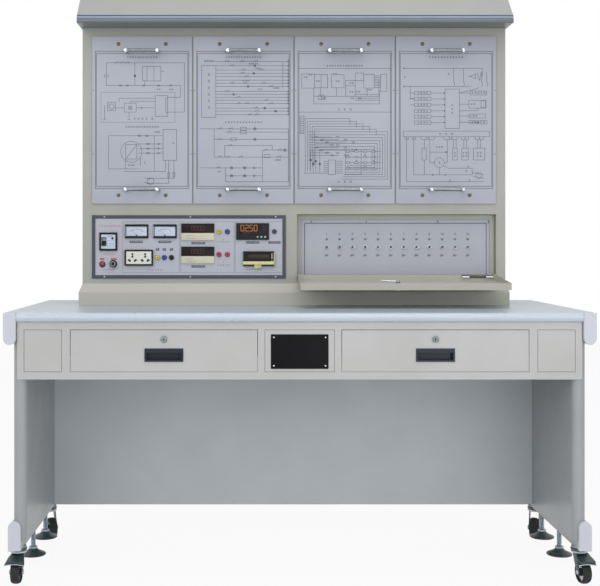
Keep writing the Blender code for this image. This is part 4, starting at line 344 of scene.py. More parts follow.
@dataclass(frozen=True)
class ZonedFinish(Finish):
    """A finish whose colour changes past a plane square to one axis, as on a capped rail."""

    axis: int = 1
    edge: float = 0.0
    second: str = "#FFFFFF"
    above: bool = False

    def tone(self, tree: bpy.types.NodeTree, drift: bpy.types.NodeSocket,
             place: bpy.types.NodeSocket) -> bpy.types.NodeSocket:
        """The drifting colour on one side of the plane and the second colour on the other."""
        base = super().tone(tree, drift, place)
        parts = add_node(tree, "SeparateXYZ", inputs={0: place})
        operation = "GREATER_THAN" if self.above else "LESS_THAN"
        side = add_node(tree, "Math", {"operation": operation},
                        {0: parts.outputs[self.axis], 1: self.edge})
        mixed = add_node(tree, "Mix", {"data_type": "RGBA"},
                         {0: side.outputs[0], 6: base, 7: linear(self.second)})
        return mixed.outputs[2]


# Baked enamel on sheet steel: satin, very fine orange peel, a slow drift of tone over the sheet.
CABINET_ENAMEL = Finish("cream_baked_enamel", "#AEADA5", "#A9A8A0", 0.42, relief_mm=0.012)
# The flap and the plinth catch the lamps: the same enamel, painted half a tone lighter as painted
# light.
FLAP_PLINTH_PAINTED_LIGHT_ENAMEL = Finish("cream_enamel_painted_lighter", "#BDBBB1", "#B8B6AB", 0.42, relief_mm=0.012)
BENCH_ENAMEL = Finish("grey_white_baked_enamel", "#C5C5C3", "#C0C0BD", 0.42, relief_mm=0.012)
# The knee-space panel: the apron's enamel given a cooler, bluer tone as painted shade under the
# apron.
MODESTY_PAINTED_SHADE_ENAMEL = Finish("apron_enamel_painted_cool_shade", "#C6CBCF", "#C0C6CA", 0.45, relief_mm=0.012)
CANOPY_ENAMEL = Finish("grey_baked_enamel", "#A3A5A1", "#9EA09B", 0.38, relief_mm=0.012)
# High-pressure laminate: even grey-blue, faint fibre fleck, satin shine that picks up the cabinet.
LAMINATE = Finish("grey_blue_laminate", "#B6C1C6", "#AFBBC0", 0.34, 0.04, grain_mm=1.6,
                  drift_mm=30.0, relief_mm=0.008)
# Moulded edge strip: pale blue-white and glossy, with a soft line of light along its roll.
NOSE_PLASTIC = Finish("pale_blue_moulding", "#CDD8E3", "#C8D3DF", 0.26, 0.04, relief_mm=0.006)
# Printed aluminium board: matt lilac grey with an even, slightly grainy face.
BOARD_PRINT = Finish("printed_lilac_board", "#B4B7C2", "#B0B3BE", 0.50, 0.04, grain_mm=0.5,
                     relief_mm=0.006)
PLATE_PRINT = Finish("printed_panel_plate", "#BBBDC7", "#B7B9C3", 0.48, 0.04, grain_mm=0.5,
                     relief_mm=0.006)
# Screen-printed ink: flat and dull, a little thinner in places.
LINE_INK = Finish("slate_line_ink", "#4D5160", "#5A5E6D", 0.62, drift_mm=9.0, relief_mm=0.004)
DARK_INK = Finish("dark_line_ink", "#3A3D4C", "#474A5A", 0.62, drift_mm=9.0, relief_mm=0.004)
RED_INK = Finish("red_line_ink", "#BC5A66", "#C8707A", 0.60, drift_mm=9.0, relief_mm=0.004)
PINK_INK = Finish("pink_line_ink", "#D08E98", "#D69CA4", 0.60, drift_mm=9.0, relief_mm=0.004)
WHITE_INK = Finish("white_line_ink", "#DDDCD4", "#D2D1C9", 0.55, drift_mm=9.0, relief_mm=0.004)
TAG_INK = Finish("violet_grey_label_strip", "#5D5E70", "#66677C", 0.5, drift_mm=9.0)
# Moulded plastics: fine spark-eroded grain, soft highlights at the edges.
BEZEL_PLASTIC = Finish("slate_moulding", "#3F4554", "#3A404E", 0.40, grain_mm=0.4)
# Black moulding; the same black also fills the socket's holes and the posts' bores as painted
# shade.
BLACK_PLASTIC_AND_HOLE_SHADE = Finish("black_moulding_and_hole_shade", "#16181B", "#1C1E22", 0.40, grain_mm=0.4,
                       specular=0.22)
NAVY_PLASTIC = Finish("navy_black_moulding", "#1D2430", "#242C39", 0.38, grain_mm=0.4,
                      specular=0.3)
WHITE_PLASTIC = Finish("white_moulding", "#E6E4DB", "#DEDCD2", 0.34, grain_mm=0.4,
                       relief_mm=0.008)
CREAM_PLASTIC = Finish("cream_moulding", "#D6D1BC", "#CFCAB4", 0.40, grain_mm=0.4)
PALE_FACE = Finish("pale_blue_dial_card", "#CBD8E6", "#C6D3E2", 0.45, drift_mm=20.0)
YELLOW_PLASTIC = Finish("yellow_moulding", "#D3C94A", "#C8BE42", 0.32, grain_mm=0.4)
BLUE_PLASTIC = Finish("blue_moulding", "#2F479C", "#293F8E", 0.32, grain_mm=0.4)
RED_PLASTIC = Finish("red_moulding", "#B23544", "#A42E3C", 0.30, grain_mm=0.4, coat=0.3)
LAMP_RED = Finish("unlit_red_lens", "#7E2436", "#701E2F", 0.22, 0.03, relief_mm=0.004,
                  coat=0.5)
GREEN_PLASTIC = Finish("green_key_moulding", "#3E9E5A", "#379150", 0.34, grain_mm=0.4)
TEAL_PLASTIC = Finish("pale_teal_key_moulding", "#78AEBB", "#6FA4B2", 0.34, grain_mm=0.4)
# Lighter copies of the green and teal key mouldings, laid on the keys' front faces as painted
# light.
GREEN_KEY_FACE_PAINTED_LIGHT = Finish("green_key_face_painted_light", "#7FC79B", "#78C094", 0.34, grain_mm=0.4)
TEAL_KEY_FACE_PAINTED_LIGHT = Finish("teal_key_face_painted_light", "#A9D2DE", "#A2CBD8", 0.34, grain_mm=0.4)
# Anodised label plate: deep black with hardly any shine; the same black lies over the drawer locks'
# keyways as painted shade.
BLACK_PLATE_AND_KEYWAY_SHADE = Finish("black_anodised_plate_and_keyway_shade", "#0B0B0D", "#101013", 0.48, grain_mm=0.4,
                     specular=0.12)
# Smoked display window: near black with a red cast and a clear gloss over it.
WINDOW = Finish("smoked_display_window", "#2C2024", "#271C20", 0.30, 0.04, relief_mm=0.002,
                specular=0.12)
# Lit display segments seen through the window.
ORANGE_GLOW = Finish("lit_orange_segments", "#B9763C", "#B27038", 0.5, glow=0.22)
DIM_GLOW = Finish("dim_red_segments", "#5E3431", "#55302E", 0.5, glow=0.05)
# Bright chrome: mirror-like, with a faint polish haze.
CHROME = Finish("polished_chrome", "#D3D6DA", "#C9CCD1", 0.14, 0.05, drift_mm=25.0,
                relief_mm=0.003, metallic=1.0)
SATIN_STEEL = Finish("satin_steel", "#B9BCC0", "#A9ADB2", 0.30, 0.08, grain_mm=0.9,
                     drift_mm=18.0, relief_mm=0.01, metallic=1.0, stretch=(0.2, 1.0, 1.0))
# Blue-passivated zinc on pressings: cool grey, patchy sheen.
ZINC_PALE = Finish("bright_zinc_plate", "#AEB8C0", "#97A3AD", 0.30, 0.10, drift_mm=9.0,
                   relief_mm=0.01, metallic=0.8)
# Satin nickel of the drawer locks: soft and grey, its rim a little brighter.
LOCK_NICKEL = Finish("satin_nickel_lock", "#8F999F", "#838D93", 0.46, 0.06, drift_mm=6.0,
                     metallic=0.7)
# Yellow chromate on the connector's bar.
CHROMATE = Finish("yellow_chromate_steel", "#D6CF9C", "#C6BF88", 0.34, 0.08, drift_mm=10.0,
                  metallic=0.35)
# Caster tyre: dark rubber with a dull, slightly worn tread.
TYRE = Finish("dark_caster_rubber", "#2E3433", "#272C2B", 0.62, 0.08, drift_mm=12.0,
              relief_mm=0.05, specular=0.25)
# Contacts deep in the housing: brown-grey, hardly lit.
CONTACTS = Finish("shaded_brass_contacts", "#4A3C38", "#413531", 0.45, 0.06, drift_mm=8.0,
                  metallic=0.4)
# Hinge leaf steel, darkened as painted shade on the leaf inside the flap's rim.
HINGE_STEEL_PAINTED_SHADE = Finish("hinge_steel_painted_shade", "#6D6A60", "#5B5850", 0.40, 0.10, drift_mm=10.0,
                     metallic=1.0)
# Grey enamel of the side frames, half a tone under the apron.
LEG_ENAMEL = Finish("mid_grey_baked_enamel", "#A9ACAE", "#A4A7A9", 0.40, relief_mm=0.012)
# Soft dark lip of the canopy: dull sheen that rolls from grey-green to near black.
NOSE_RUBBER = Finish("grey_green_lip_moulding", "#6C7574", "#666F6E", 0.36, grain_mm=0.5)
# Bent rod of the handle grips, also the toggle bushings and board screws: steel darkened as a
# painted reflection, so it mirrors the dark room more than the lamps.
STEEL_PAINTED_DARK_REFLECTION = Finish("steel_painted_dark_reflection", "#8E9399", "#7F848A", 0.26, 0.06, drift_mm=18.0,
                    metallic=1.0)
# Screw heads and toggle levers: brown-grey brass, darkened as a painted dark reflection, so that
# they read as dots on the pale board.
BRASS_PAINTED_DARK_REFLECTION = Finish("brass_painted_dark_reflection", "#7C726C", "#6B625D", 0.36, 0.08, drift_mm=6.0,
                    metallic=0.7)
# Lavender bead of the lip: a painted highlight, the light upper roll of the moulding given as its
# own pale colour.
LAVENDER_PAINTED_HIGHLIGHT = Finish("lavender_painted_highlight_bead", "#8F97B6", "#8990B0", 0.34, grain_mm=0.5)
# Cast fork and pedal: dark green-grey, half gloss; the pale line along the pedal's front edge is a
# separate strip of painted highlight.
CASTER_PAINT = Finish("dark_caster_enamel", "#3C4B50", "#334146", 0.34, 0.08, drift_mm=14.0,
                      relief_mm=0.02)
# Painted shade: a thin dark line laid in a pressed groove.
GROOVE_PAINTED_SHADE = Finish("painted_groove_shade", "#85878A", "#7C7E81", 0.6, drift_mm=40.0)
INDIGO_TRIM = Finish("indigo_trim_strip", "#34406E", "#3A4678", 0.40, drift_mm=60.0)


# Pieces


def link(name: str, data: bpy.types.ID) -> bpy.types.Object:
    """A new object with this data, linked to the scene."""
    item = bpy.data.objects.new(name, data)
    bpy.context.scene.collection.objects.link(item)
    return item


def make_piece(name: str, forms: Sequence[Form], finish: Finish, body: str,
               flat_angle: float = 35.0) -> bpy.types.Object:
    """Makes one object at the origin from closed forms and lets it ride on a body.

    Args:
        name: the piece's name.
        forms: the closed surfaces that it is made of.
        finish: its material.
        body: the body that carries it.
        flat_angle: edges sharper than this stay sharp, in degrees.

    Returns:
        The new object.
    """
    form = merge(forms)
    mesh = bpy.data.meshes.new(name)
    mesh.from_pydata(form.points.tolist(), [], form.faces)
    shape = bmesh.new()
    shape.from_mesh(mesh)
    bmesh.ops.recalc_face_normals(shape, faces=shape.faces)
    shape.to_mesh(mesh)
    shape.free()
    mesh.shade_smooth()
    mesh.set_sharp_from_angle(angle=math.radians(flat_angle))
    mesh.materials.append(finish.material())
    item = link(name, mesh)
    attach(item, body)
    LOG.info("%s: %d faces on %s", name, len(form.faces), body)
    return item


def screw_head(mount: Mount, radius: float, height: float) -> Form:
    """A domed screw head with a cross recess.

    On a polar grid the height is the dome height * (1 - (r / radius)^2) plus a rim, less the
    recess where a point lies within 0.13 of the radius of either arm of the cross.
    """
    share = np.linspace(1.0, 0.04, 9)[:, None]
    angle = np.arange(32) * (2 * np.pi / 32)
    u, v = radius * share * np.cos(angle), radius * share * np.sin(angle)
    dome = height * (0.35 + 0.65 * (1 - share ** 2)) * np.ones_like(angle)
    arm = (np.minimum(np.abs(u), np.abs(v)) < radius * 0.13) & (share < 0.62)
    rim = mount.lift(u[:1], v[:1], np.full_like(u[:1], 0.0))
    return grid(np.concatenate([rim, mount.lift(u, v, dome - arm * height * 0.45)]))


class Pen:
    """Gathers the straight lines of a drawing, in millimetres from the middle of a board."""

    def __init__(self) -> None:
        """Starts with an empty sheet."""
        self.lines: list[tuple[float, float, float, float]] = []

    def chain(self, *points: tuple[float, float]) -> None:
        """Lines from each point to the next."""
        self.lines += [(*a, *b) for a, b in zip(points, points[1:])]

    def rectangle(self, left: float, low: float, right: float, high: float) -> None:
        """The four sides of a rectangle."""
        self.chain((left, low), (right, low), (right, high), (left, high), (left, low))

    def circle(self, u: float, v: float, radius: float, sides: int = 20) -> None:
        """A circle as a chain of short lines."""
        angle = np.linspace(0.0, 2 * np.pi, sides + 1)
        self.chain(*zip((u + radius * np.cos(angle)).tolist(),
                        (v + radius * np.sin(angle)).tolist()))

    def dashes(self, a: tuple[float, float], b: tuple[float, float], pitch: float = 8.0) -> None:
        """A dashed line: half of each pitch is drawn."""
        count = max(1, round(math.dist(a, b) / pitch))
        step = ((b[0] - a[0]) / count, (b[1] - a[1]) / count)
        for i in range(count):
            u, v = a[0] + step[0] * i, a[1] + step[1] * i
            self.lines.append((u, v, u + step[0] / 2, v + step[1] / 2))

    def marks(self, u: float, v: float, count: int, size: float = 4.0,
              pitch: float = 7.0) -> None:
        """A centred row of small bare marks that stand where a caption would be."""
        for i in range(count):
            x = u + (i - (count - 1) / 2) * pitch
            wide = size / 2 if i % 3 else size / 3
            self.lines.append((x - wide, v + size / 3, x + wide, v + size / 3))
            self.lines.append((x - size / 3, v - size / 3, x + wide, v - size / 3))
            self.lines.append((x, v - size / 3, x, v + size / 3))

    def contact(self, u: float, v: float, size: float = 5.0) -> None:
        """A switch contact: two short posts and a raised blade."""
        self.chain((u - size, v), (u + size, v + size * 0.8))
        self.chain((u + size, v - size / 3), (u + size, v + size / 3))
        self.chain((u - size, v - size / 3), (u - size, v + size / 3))

    def coil(self, u: float, v: float, size: float = 5.0) -> None:
        """A relay coil: a small rectangle across the wire."""
        self.rectangle(u - size, v - size / 2, u + size, v + size / 2)

    def lamp(self, u: float, v: float, size: float = 4.0) -> None:
        """A lamp: a circle with a cross."""
        self.circle(u, v, size, 10)
        half = size * 0.7
        self.chain((u - half, v - half), (u + half, v + half))
        self.chain((u - half, v + half), (u + half, v - half))

    def arrow(self, u: float, v: float, size: float = 4.0) -> None:
        """An arrow head that points right."""
        self.chain((u - size, v + size / 2), (u, v), (u - size, v - size / 2),
                   (u - size, v + size / 2))

    def form(self, mount: Mount, width_mm: float) -> Form:
        """The gathered lines as thin bars of ink."""
        return strokes(mount, np.array(self.lines) * MM, width_mm * MM)


GLYPHS = {
    "0": [(0, 0, 1, 0), (1, 0, 1, 2), (1, 2, 0, 2), (0, 2, 0, 0)],
    "1": [(0.5, 0, 0.5, 2), (0.5, 2, 0.1, 1.6)],
    "2": [(0, 2, 1, 2), (1, 2, 1, 1), (1, 1, 0, 1), (0, 1, 0, 0), (0, 0, 1, 0)],
    "3": [(0, 2, 1, 2), (1, 2, 1, 0), (0, 1, 1, 1), (0, 0, 1, 0)],
    "4": [(0, 2, 0, 1), (0, 1, 1, 1), (1, 2, 1, 0)],
    "5": [(1, 2, 0, 2), (0, 2, 0, 1), (0, 1, 1, 1), (1, 1, 1, 0), (1, 0, 0, 0)],
    "6": [(1, 2, 0, 2), (0, 2, 0, 0), (0, 0, 1, 0), (1, 0, 1, 1), (1, 1, 0, 1)],
    "7": [(0, 2, 1, 2), (1, 2, 0.4, 0)],
    "8": [(0, 0, 1, 0), (1, 0, 1, 2), (1, 2, 0, 2), (0, 2, 0, 0), (0, 1, 1, 1)],
    "9": [(1, 1, 0, 1), (0, 1, 0, 2), (0, 2, 1, 2), (1, 2, 1, 0), (1, 0, 0, 0)],
    "O": [(0, 0, 1, 0), (1, 0, 1, 2), (1, 2, 0, 2), (0, 2, 0, 0)],
    "N": [(0, 0, 0, 2), (0, 2, 1, 0), (1, 0, 1, 2)],
    "F": [(0, 0, 0, 2), (0, 2, 1, 2), (0, 1, 0.8, 1)],
}


def word(text: str, u: float, v: float, height: float) -> list[tuple[float, float, float, float]]:
    """The lines of a word centred on u and v; letters are half as wide as they are high."""
    wide, pitch = height / 2, height * 0.75
    left = u - (pitch * (len(text) - 1) + wide) / 2
    return [(left + pitch * i + a * wide, v + (b - 1) * height / 2,
             left + pitch * i + c * wide, v + (d - 1) * height / 2)
            for i, letter in enumerate(text) for a, b, c, d in GLYPHS[letter]]


# Diagram panels


class Circuit(Enum):
    """Which generic circuit layout a diagram board carries."""

    MOTOR = 1
    RELAYS = 2
    BOARD = 3
    CONTROLLER = 4


def draw_motor_circuit(pen: Pen) -> None:
    """Two circuits, one with a dashed module and one with a motor."""
    pen.marks(0, 191, 12, 4.5, 8)
    pen.chain((-109, 137), (-109, 174), (129, 174), (129, 24), (78, 24))
    pen.chain((-109, 131), (-109, 105), (117, 105), (117, 69), (78, 69))
    pen.rectangle(-115, 131, -103, 137)
    pen.chain((-22, 174), (-22, 105))
    pen.rectangle(1, 119, 15, 163)
    pen.rectangle(15, 119, 57, 163)
    pen.chain((36, 163), (36, 119))
    pen.chain((8, 119), (8, 105))
    pen.chain((57, 148), (66, 148))
    for u in (-78, -45, -60):
        pen.contact(u, 174)
    for u, v in ((-66, 105), (-45, 105), (5, 105), (50, 105), (88, 105)):
        pen.coil(u, v, 3)
    pen.marks(50, 93, 2)
    pen.marks(88, 93, 2)
    pen.lamp(-22, 134, 3)
    for a, b in (((-125, 84), (100, 84)), ((100, 84), (100, -7)), ((100, -7), (-125, -7)),
                 ((-125, -7), (-125, 84))):
        pen.dashes(a, b)
    pen.rectangle(40, 11, 78, 74)
    pen.rectangle(72, 22, 78, 66)
    pen.rectangle(-105, 29, -81, 54)
    pen.circle(-93, 41, 8, 14)
    pen.rectangle(-54, 24, -18, 51)
    pen.lamp(-36, 37, 6)
    pen.chain((-81, 37), (-54, 37))
    pen.chain((-18, 37), (40, 37))
    pen.arrow(2, 37)
    pen.chain((-70, 54), (-70, 66), (40, 66))
    pen.chain((-36, 51), (-36, 57), (40, 57))
    for u, v in ((-114, 43), (-40, 24), (31, 11)):
        pen.chain((u, v), (u, 2))
        pen.chain((u - 4, 2), (u + 4, 2))
    pen.marks(-5, 4, 4, 5, 12)
    pen.marks(0, -21, 13, 4.5, 8)
    pen.chain((-7, -149), (-102, -149), (-102, -48), (64, -48))
    pen.rectangle(64, -123, 105, -29)
    pen.circle(-33, -97, 32, 28)
    pen.rectangle(-50, -119, -16, -75)
    pen.chain((-50, -119), (-16, -75))
    for v in (-73, -87, -101):
        pen.chain((-10, v), (64, v))
        pen.coil(18, v, 4)
        pen.circle(50, v, 2.5, 8)
    pen.chain((-55, -157), (71, -157), (71, -123))
    pen.chain((37, -48), (37, -157))
    pen.chain((-50, -119), (-50, -149))
    pen.chain((-5, -112), (-5, -140))
    pen.marks(8, -130, 1, 6)
    pen.marks(-33, -138, 3, 4)
    for u, v in ((-8, -48), (15, -48)):
        pen.coil(u, v, 4)
    pen.marks(46, -37, 3, 4, 6)
    pen.marks(95, -70, 1, 6)
    pen.chain((81, -123), (81, -193), (15, -193))
    pen.chain((97, -123), (97, -178), (15, -178))
    pen.rectangle(78, -174, 84, -160)
    pen.rectangle(94, -174, 100, -160)
    pen.chain((8, -176), (24, -181))
    pen.chain((8, -190), (24, -195))
    pen.circle(26, -186, 10, 12)


def draw_relay_circuit(pen: Pen) -> None:
    """A tall terminal box with many parallel lines, and a ladder circuit below."""
    pen.marks(0, 191, 14, 4.5, 8)
    pen.rectangle(-127, 8, -84, 166)
    for i in range(6):
        pen.marks(-105, 138 - 20 * i, 1, 8)
    heights = (178, 165, 152, 142, 132, 121, 112, 102, 87, 78, 69, 60, 50, 36, 27, 16)
    for v in heights:
        pen.chain((-84, v), (138, v))
        pen.arrow(138, v, 3)
    pen.chain((138, 186), (138, 16))
    pen.chain((120, 176), (120, 97))
    pen.chain((-120, 178), (-84, 178))
    pen.marks(-105, 180, 4, 5, 8)
    for u, v in ((-50, 178), (-3, 178), (38, 178), (-35, 165), (0, 152), (-3, 142), (10, 132),
                 (55, 152), (-35, 112), (5, 112), (62, 112), (84, 102), (50, 92), (-50, 87),
                 (-15, 69), (-15, 50), (10, 50), (70, 60), (85, 50), (38, 36), (42, 27), (20, 16),
                 (40, 16)):
        pen.contact(u, v)
    for u, v in ((35, 165), (32, 142), (14, 102), (-30, 78), (98, 27), (65, 36)):
        pen.lamp(u, v, 3)
    pen.marks(30, 171, 5, 4, 6)
    pen.marks(45, 157, 3, 4, 6)
    pen.marks(8, 120, 4, 4, 6)
    pen.marks(100, 97, 3, 4, 6)
    pen.marks(0, -7, 13, 4.5, 9)
    pen.chain((-132, -27), (137, -27), (137, -188), (-55, -188), (-55, -146))
    pen.chain((-52, -37), (137, -37))
    pen.chain((-89, -27), (-89, -113), (137, -113))
    pen.chain((-89, -59), (137, -59))
    pen.chain((-57, -113), (-57, -78), (88, -78), (88, -91))
    pen.chain((137, -92), (58, -92), (58, -188))
    pen.chain((-132, -146), (58, -146))
    pen.chain((-55, -170), (58, -170))
    for u, v in ((-70, -27), (-38, -27), (-42, -37), (-72, -59), (-40, -78), (-72, -113),
                 (-48, -113), (-8, -113), (68, -92), (110, -92), (108, -113), (-76, -146)):
        pen.contact(u, v)
    for u, v in ((0, -27), (0, -37), (-30, -59), (72, -110)):
        pen.coil(u, v, 9)
    for u, v in ((35, -27), (35, -59), (-36, -146), (-36, -170), (4, -146), (4, -170),
                 (126, -92)):
        pen.lamp(u, v, 4)
    pen.arrow(38, -146, 7)
    pen.arrow(38, -170, 7)
    pen.marks(105, -122, 3, 4, 6)
    pen.marks(-74, -157, 2, 4, 6)


def draw_board_circuit(pen: Pen) -> None:
    """A block diagram above a divider, and the dense wiring of a control board below."""
    pen.marks(0, 165, 14, 4.5, 8)
    pen.chain((-141, 157), (141, 157))
    for left, low, right, high in (
            (-131, 97, -92, 140), (-92, 98, -52, 138), (-72, 98, -52, 138), (-40, 98, -2, 138),
            (58, 97, 90, 139), (32, 120, 58, 143), (110, 86, 128, 139), (3, 104, 32, 120)):
        pen.rectangle(left, low, right, high)
    pen.chain((-94, 97), (-94, 72), (104, 72), (104, 120))
    pen.chain((-94, 72), (-94, 49), (106, 49), (106, 90))
    for u, v in ((3, 104), (32, 104), (-25, 98), (-74, 98), (68, 97)):
        pen.chain((u, v), (u, 72))
    for u in (-76, -66):
        pen.rectangle(u - 4, 62, u + 4, 76)
    for u, v in ((-120, 130), (-82, 118), (-22, 118), (20, 112), (20, 86), (40, 86), (75, 92),
                 (-105, 138), (-30, 140)):
        pen.marks(u, v, 2, 5, 7)
    for u, v in ((24, 66), (46, 66), (-62, 66)):
        pen.coil(u, v, 4)
    for v in (60, 66, 78):
        pen.chain((32, v), (104, v))
    for i in range(8):
        pen.chain((90, 134 - i * 5), (110, 134 - i * 5))
    pen.marks(0, 32, 3, 6, 18)
    pen.chain((-141, 24), (141, 24))
    pen.rectangle(-136, -42, -124, 12)
    for i in range(9):
        pen.chain((-136, 6 - i * 5.5), (-124, 6 - i * 5.5))
    for i in range(7):
        u, top, low = 131 - i * 8, -36 - i * 9, -180 + i * 7
        pen.chain((-114 + i * 6, top), (u, top), (u, low), (-10 + i * 4, low))
    for i in range(5):
        left, top = -120 + i * 7, 4 - i * 8
        pen.chain((left, -162 + i * 6), (left, top), (16 + i * 20, top), (16 + i * 20, top - 18))
    for i in range(8):
        v = -52 - i * 8
        pen.chain((-108, v), (-40 + (i % 3) * 22, v))
        pen.coil(-86 + (i % 4) * 16, v, 4)
        pen.coil(-22 + (i % 3) * 24, v, 4)
    pen.rectangle(-50, -166, -28, -122)
    for i in range(7):
        pen.chain((-64, -126 - i * 6), (-50, -126 - i * 6))
        pen.chain((-28, -126 - i * 6), (-6, -126 - i * 6))
    for row in range(4):
        for column in range(4):
            u, v = 10 + column * 26, -96 - row * 17
            pen.coil(u, v, 5)
            pen.chain((u + 5, v), (u + 21, v))
            if (row + column) % 2:
                pen.marks(u, v + 6, 1, 4)
    for u in (-96, -104, -88, -76):
        pen.chain((u, -90), (u, -160))
        pen.lamp(u, -118 - (u % 5) * 4, 3)
    pen.rectangle(2, -165, 50, -90)
    pen.chain((-124, -162), (-52, -162))
    pen.marks(0, -188, 3, 6, 18)


def draw_controller_circuit(pen: Pen) -> None:
    """Supply lines, rounded input blocks at a tall controller box, and the outputs below."""
    pen.marks(0, 191, 12, 4.5, 9)
    pen.chain((-126, 157), (111, 157), (111, 132))
    pen.chain((-126, 102), (75, 102))
    pen.circle(-128, 157, 2, 8)
    pen.circle(-128, 102, 2, 8)
    pen.marks(-126, 131, 1, 6)
    for u in (23, 53, 108, 124):
        pen.chain((u, 157 if u < 100 else 146), (u, 118), (u + 4, 108), (u, 102))
    pen.marks(8, 140, 1, 6)
    pen.chain((75, 133), (90, 125), (90, 141), (75, 133), (68, 133))
    pen.chain((95, 144), (102, 120), (107, 144))
    pen.chain((-109, 102), (-109, 65), (-96, 65))
    for i in range(6):
        v = 82 - i * 18
        pen.rectangle(-96, v - 5, -46, v + 5)
        pen.marks(-71, v, 4, 5, 9)
        pen.chain((-46, v), (-3, v))
        pen.circle(-5, v, 1.6, 6)
        if i < 3:
            pen.chain((-109, v), (-96, v))
    pen.rectangle(-3, -26, 41, 94)
    for v in (46, 34, 22):
        pen.marks(19, v, 1, 6)
    for v, left, low, right, high in ((82, 74, 76, 124, 88), (48, 70, 36, 122, 60),
                                      (12, 70, 6, 120, 18), (-7, 70, -12, 96, -2),
                                      (-7, 100, -12, 125, -2)):
        pen.chain((41, v), (left, v))
        pen.rectangle(left, low, right, high)
    pen.marks(99, 82, 5, 5, 9)
    pen.marks(82, 48, 2, 5, 8)
    pen.rectangle(107, 38, 120, 58)
    pen.marks(84, 12, 3, 5, 9)
    pen.marks(98, -7, 5, 5, 9)
    pen.chain((97, 36), (97, 28), (41, 28))
    pen.chain((41, 82), (98, 96), (98, 102))
    pen.rectangle(-130, -51, 132, -34)
    pen.marks(0, -43, 3, 7, 18)
    for u, wide in ((-120, 6), (-98, 6), (-56, 23), (14, 23), (58, 12), (102, 14)):
        pen.chain((u - wide, -51), (u - wide * 0.8, -60), (u + wide * 0.8, -60), (u + wide, -51))
        pen.marks(u, -55, max(1, int(wide / 8)), 4)
    pen.chain((-120, -60), (-120, -188), (114, -188))
    pen.chain((-98, -60), (-98, -167), (80, -167), (80, -150))
    pen.rectangle(-73, -122, -60, -86)
    pen.chain((-66, -60), (-66, -86))
    pen.chain((-66, -122), (-66, -167))
    pen.circle(-20, -130, 15, 18)
    pen.marks(-20, -130, 1, 8)
    pen.chain((-49, -60), (-49, -130), (-35, -130))
    pen.chain((4, -60), (4, -130), (-5, -130))
    pen.chain((-49, -98), (4, -98))
    pen.arrow(4, -98, 5)
    pen.chain((-20, -145), (-20, -167))
    pen.marks(-20, -82, 3, 5, 8)
    for left, right in ((20, 34), (48, 68), (84, 118)):
        pen.rectangle(left, -122, right, -86)
        middle = (left + right) / 2
        pen.chain((middle - 4, -60), (middle - 4, -86))
        pen.chain((middle + 4, -60), (middle + 4, -86))
        pen.marks(middle, -100, 1 if right < 40 else 2, 5, 9)
        pen.marks(middle, -110, 1 if right < 40 else 2, 5, 9)
    pen.chain((-5, -140), (6, -147), (80, -147))
    pen.chain((80, -160), (114, -166))
    pen.chain((84, -172), (114, -178))
    for u, v in ((68, -142), (62, -156), (-40, -167), (-2, -167), (12, -184), (72, -184)):
        pen.marks(u, v, 1, 5)
    pen.circle(100, -169, 9, 12)


CIRCUIT_DRAWINGS = {
    Circuit.MOTOR: draw_motor_circuit,
    Circuit.RELAYS: draw_relay_circuit,
    Circuit.BOARD: draw_board_circuit,
    Circuit.CONTROLLER: draw_controller_circuit,
}


@dataclass(frozen=True)
class DiagramSizes:
    """The sizes of what is on a diagram board, in metres."""

    thick: float = 0.006
    frame_side: float = 0.0110
    frame_end: float = 0.047
    frame_step: tuple[float, float] = (0.003, 0.0065)
    screw_radius: float = 0.0048
    screw_u: float = 0.072
    screw_inset: tuple[float, float] = (0.025, 0.027)
    pin_radius: float = 0.0016
    rod_radius: float = 0.0048
    foot_radius: float = 0.0072
    spacing: float = 0.100
    standoff: float = 0.0300
    handle_inset: tuple[float, float] = (0.049, 0.043)
    shadow_gap: float = 0.0009


